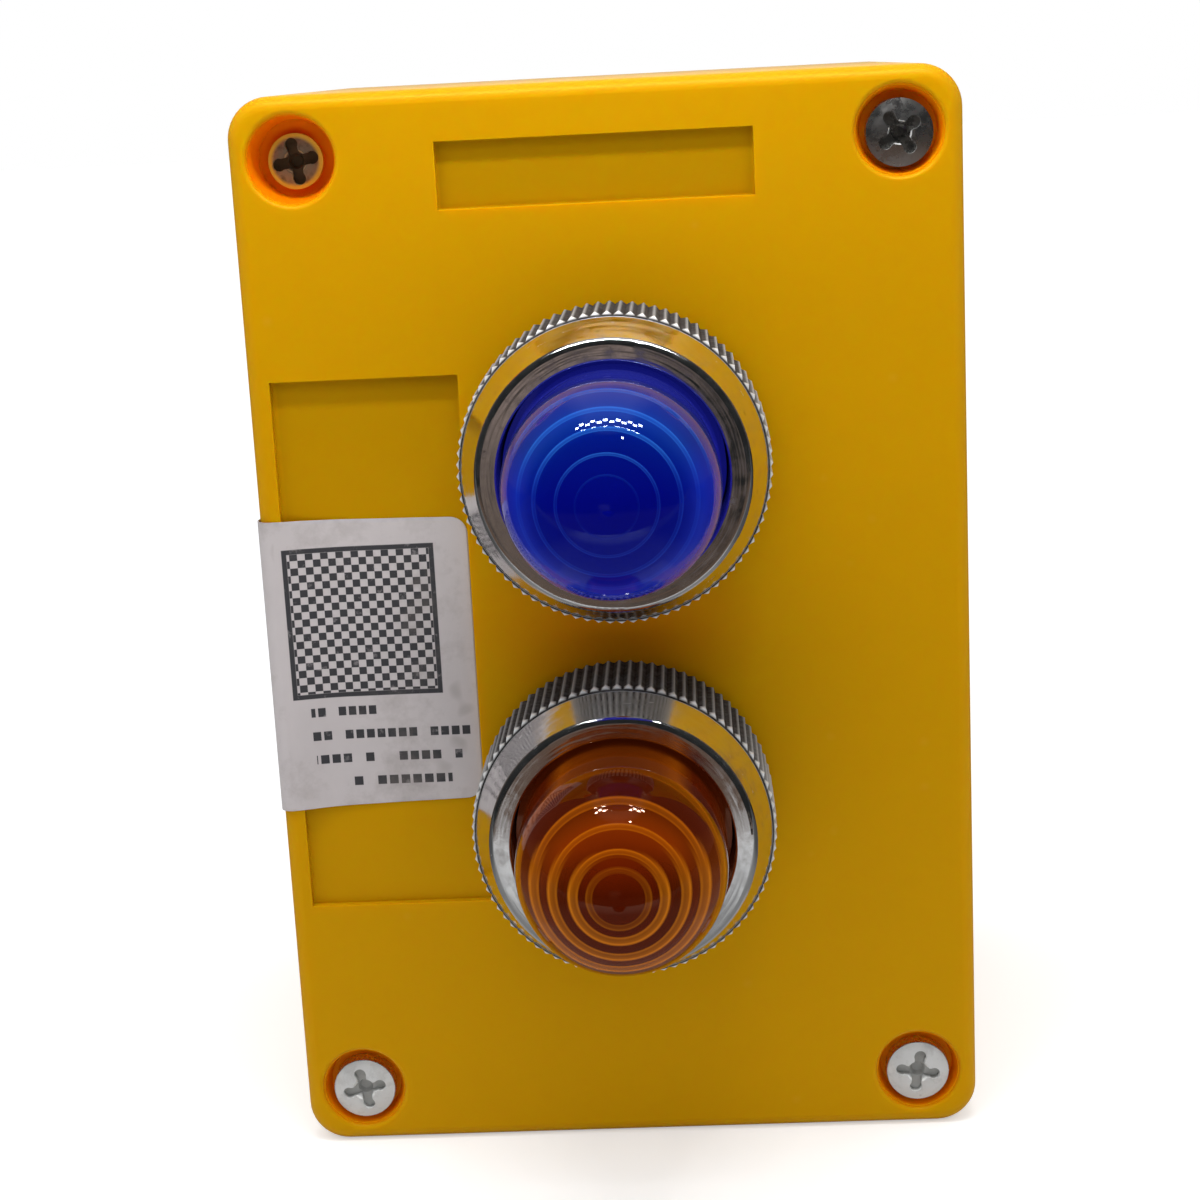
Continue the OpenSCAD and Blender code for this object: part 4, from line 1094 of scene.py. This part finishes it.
class STATION_OT_workings(bpy.types.Operator):
    """Finishes the operators, the lamps and the contact blocks"""
    bl_idname = "station.workings"
    bl_label = "Workings"

    def execute(self, context):
        glass, tree, principled = new_material("lamp_glass", Transmission_Weight=1.0, IOR=1.45)
        haze = ramp(tree, noise(tree, 500.0), 0.4, 0.7, 0.02, 0.1)
        tone = effect(tree, "Tone drift", Colour=(0.95, 0.95, 0.95), Scale=90.0, Amount=0.03)["Colour"]
        feed(tree, principled, Base_Color=tone, Roughness=haze)
        finishes = {
            plastic("operator_black", (0.02, 0.02, 0.02), 0.5): ("barrel",),
            plastic("moulded_white", (0.78, 0.77, 0.72), 0.45): (
                "plunger", "lamp_holder", "mounting_collar", "contact_housing"),
            plastic("moulded_grey", (0.35, 0.35, 0.36), 0.45): ("rear_cover",),
            plastic("moulded_red", (0.5, 0.04, 0.025), 0.45): ("contact_carrier",),
            metal("plated_steel", (0.6, 0.6, 0.58), 0.32): ("lock_washer", "locknut", "terminal_screws"),
            metal("spring_wire", (0.5, 0.5, 0.5), 0.28): ("plunger_clip", "contact_springs"),
            metal("bright_brass", (0.72, 0.5, 0.2), 0.3): ("lamp_cap", "contact_bridges", "terminal_strips"),
            glass: ("lamp_bulb",),
        }
        for material, pieces in finishes.items():
            for piece in pieces:
                for colour in BUTTONS:
                    dress(f"{colour}_{piece}", material)
        return {"FINISHED"}


# Radius of a return spring's wire, in mm, and its number of turns
SPRING_WIRE = 0.5
SPRING_TURNS = 5


def coil_mesh(name, node_name):
    """A return spring's round wire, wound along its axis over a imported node's length."""
    low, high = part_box(node_name)
    middle_x, middle_z = (low.x + high.x) / 2, (low.z + high.z) / 2
    steps_per_turn, sides, clear = 28, 8, 0.01 * MM
    wire = SPRING_WIRE * MM
    coil = (high.x - low.x) / 2 - wire
    rear, front = high.y - wire, low.y + wire + clear
    steps = SPRING_TURNS * steps_per_turn
    work = bmesh.new()
    rings = []
    for step in range(steps + 1):
        turn = 2 * math.pi * step / steps_per_turn
        level = rear + (front - rear) * step / steps
        ring = []
        for side in range(sides):
            lean = 2 * math.pi * side / sides
            reach = coil + wire * math.cos(lean)
            ring.append(work.verts.new((middle_x + reach * math.cos(turn), level - wire * math.sin(lean),
                                        middle_z + reach * math.sin(turn))))
        rings.append(ring)
    for a, b in zip(rings, rings[1:]):
        for side in range(sides):
            after = (side + 1) % sides
            work.faces.new((a[side], b[side], b[after], a[after])).smooth = True
    work.faces.new(rings[0])
    work.faces.new(reversed(rings[-1]))
    bmesh.ops.recalc_face_normals(work, faces=work.faces)
    mesh = bpy.data.meshes.new(name)
    work.to_mesh(mesh)
    work.free()
    return mesh


class STATION_OT_springs(bpy.types.Operator):
    """Makes the return springs"""
    bl_idname = "station.springs"
    bl_label = "Return springs"

    def execute(self, context):
        material = metal("spring_steel", (0.5, 0.5, 0.5), 0.28)
        for colour in BUTTONS:
            node = f"{colour}_return_spring"
            mesh = coil_mesh(f"{colour}_spring_coil", node)
            mesh.materials.append(material)
            coil = bpy.data.objects.new(f"{colour}_spring_coil", mesh)
            context.scene.collection.objects.link(coil)
            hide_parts(node)
            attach(coil, "station")
            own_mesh(coil)
        return {"FINISHED"}


class STATION_PT_panel(bpy.types.Panel):
    """Lists the station's settings and steps"""
    bl_idname = "STATION_PT_panel"
    bl_label = "Control station"
    bl_space_type = "VIEW_3D"
    bl_region_type = "UI"
    bl_category = "Station"

    def draw(self, context):
        for group in (context.scene.station_stage, context.scene.station_finish):
            box = self.layout.box()
            for name in group.__annotations__:
                box.prop(group, name)
        for step in STEPS:
            self.layout.operator(step.bl_idname)


STEPS = (STATION_OT_stage, STATION_OT_box, STATION_OT_screws, STATION_OT_rubber, STATION_OT_bezels,
         STATION_OT_lenses, STATION_OT_workings, STATION_OT_springs, STATION_OT_label)
CLASSES = (StationStage, StationFinish) + STEPS + (STATION_PT_panel,)


def register():
    for cls in CLASSES:
        bpy.utils.register_class(cls)
    bpy.types.Scene.station_stage = PointerProperty(type=StationStage)
    bpy.types.Scene.station_finish = PointerProperty(type=StationFinish)


def unregister():
    del bpy.types.Scene.station_finish
    del bpy.types.Scene.station_stage
    for cls in reversed(CLASSES):
        bpy.utils.unregister_class(cls)


def main():
    register()
    bpy.ops.station.stage()
    bpy.ops.station.box()
    bpy.ops.station.screws()
    bpy.ops.station.rubber()
    bpy.ops.station.bezels()
    bpy.ops.station.lenses()
    bpy.ops.station.workings()
    bpy.ops.station.springs()
    bpy.ops.station.label()


if __name__ == "__main__":
    main()
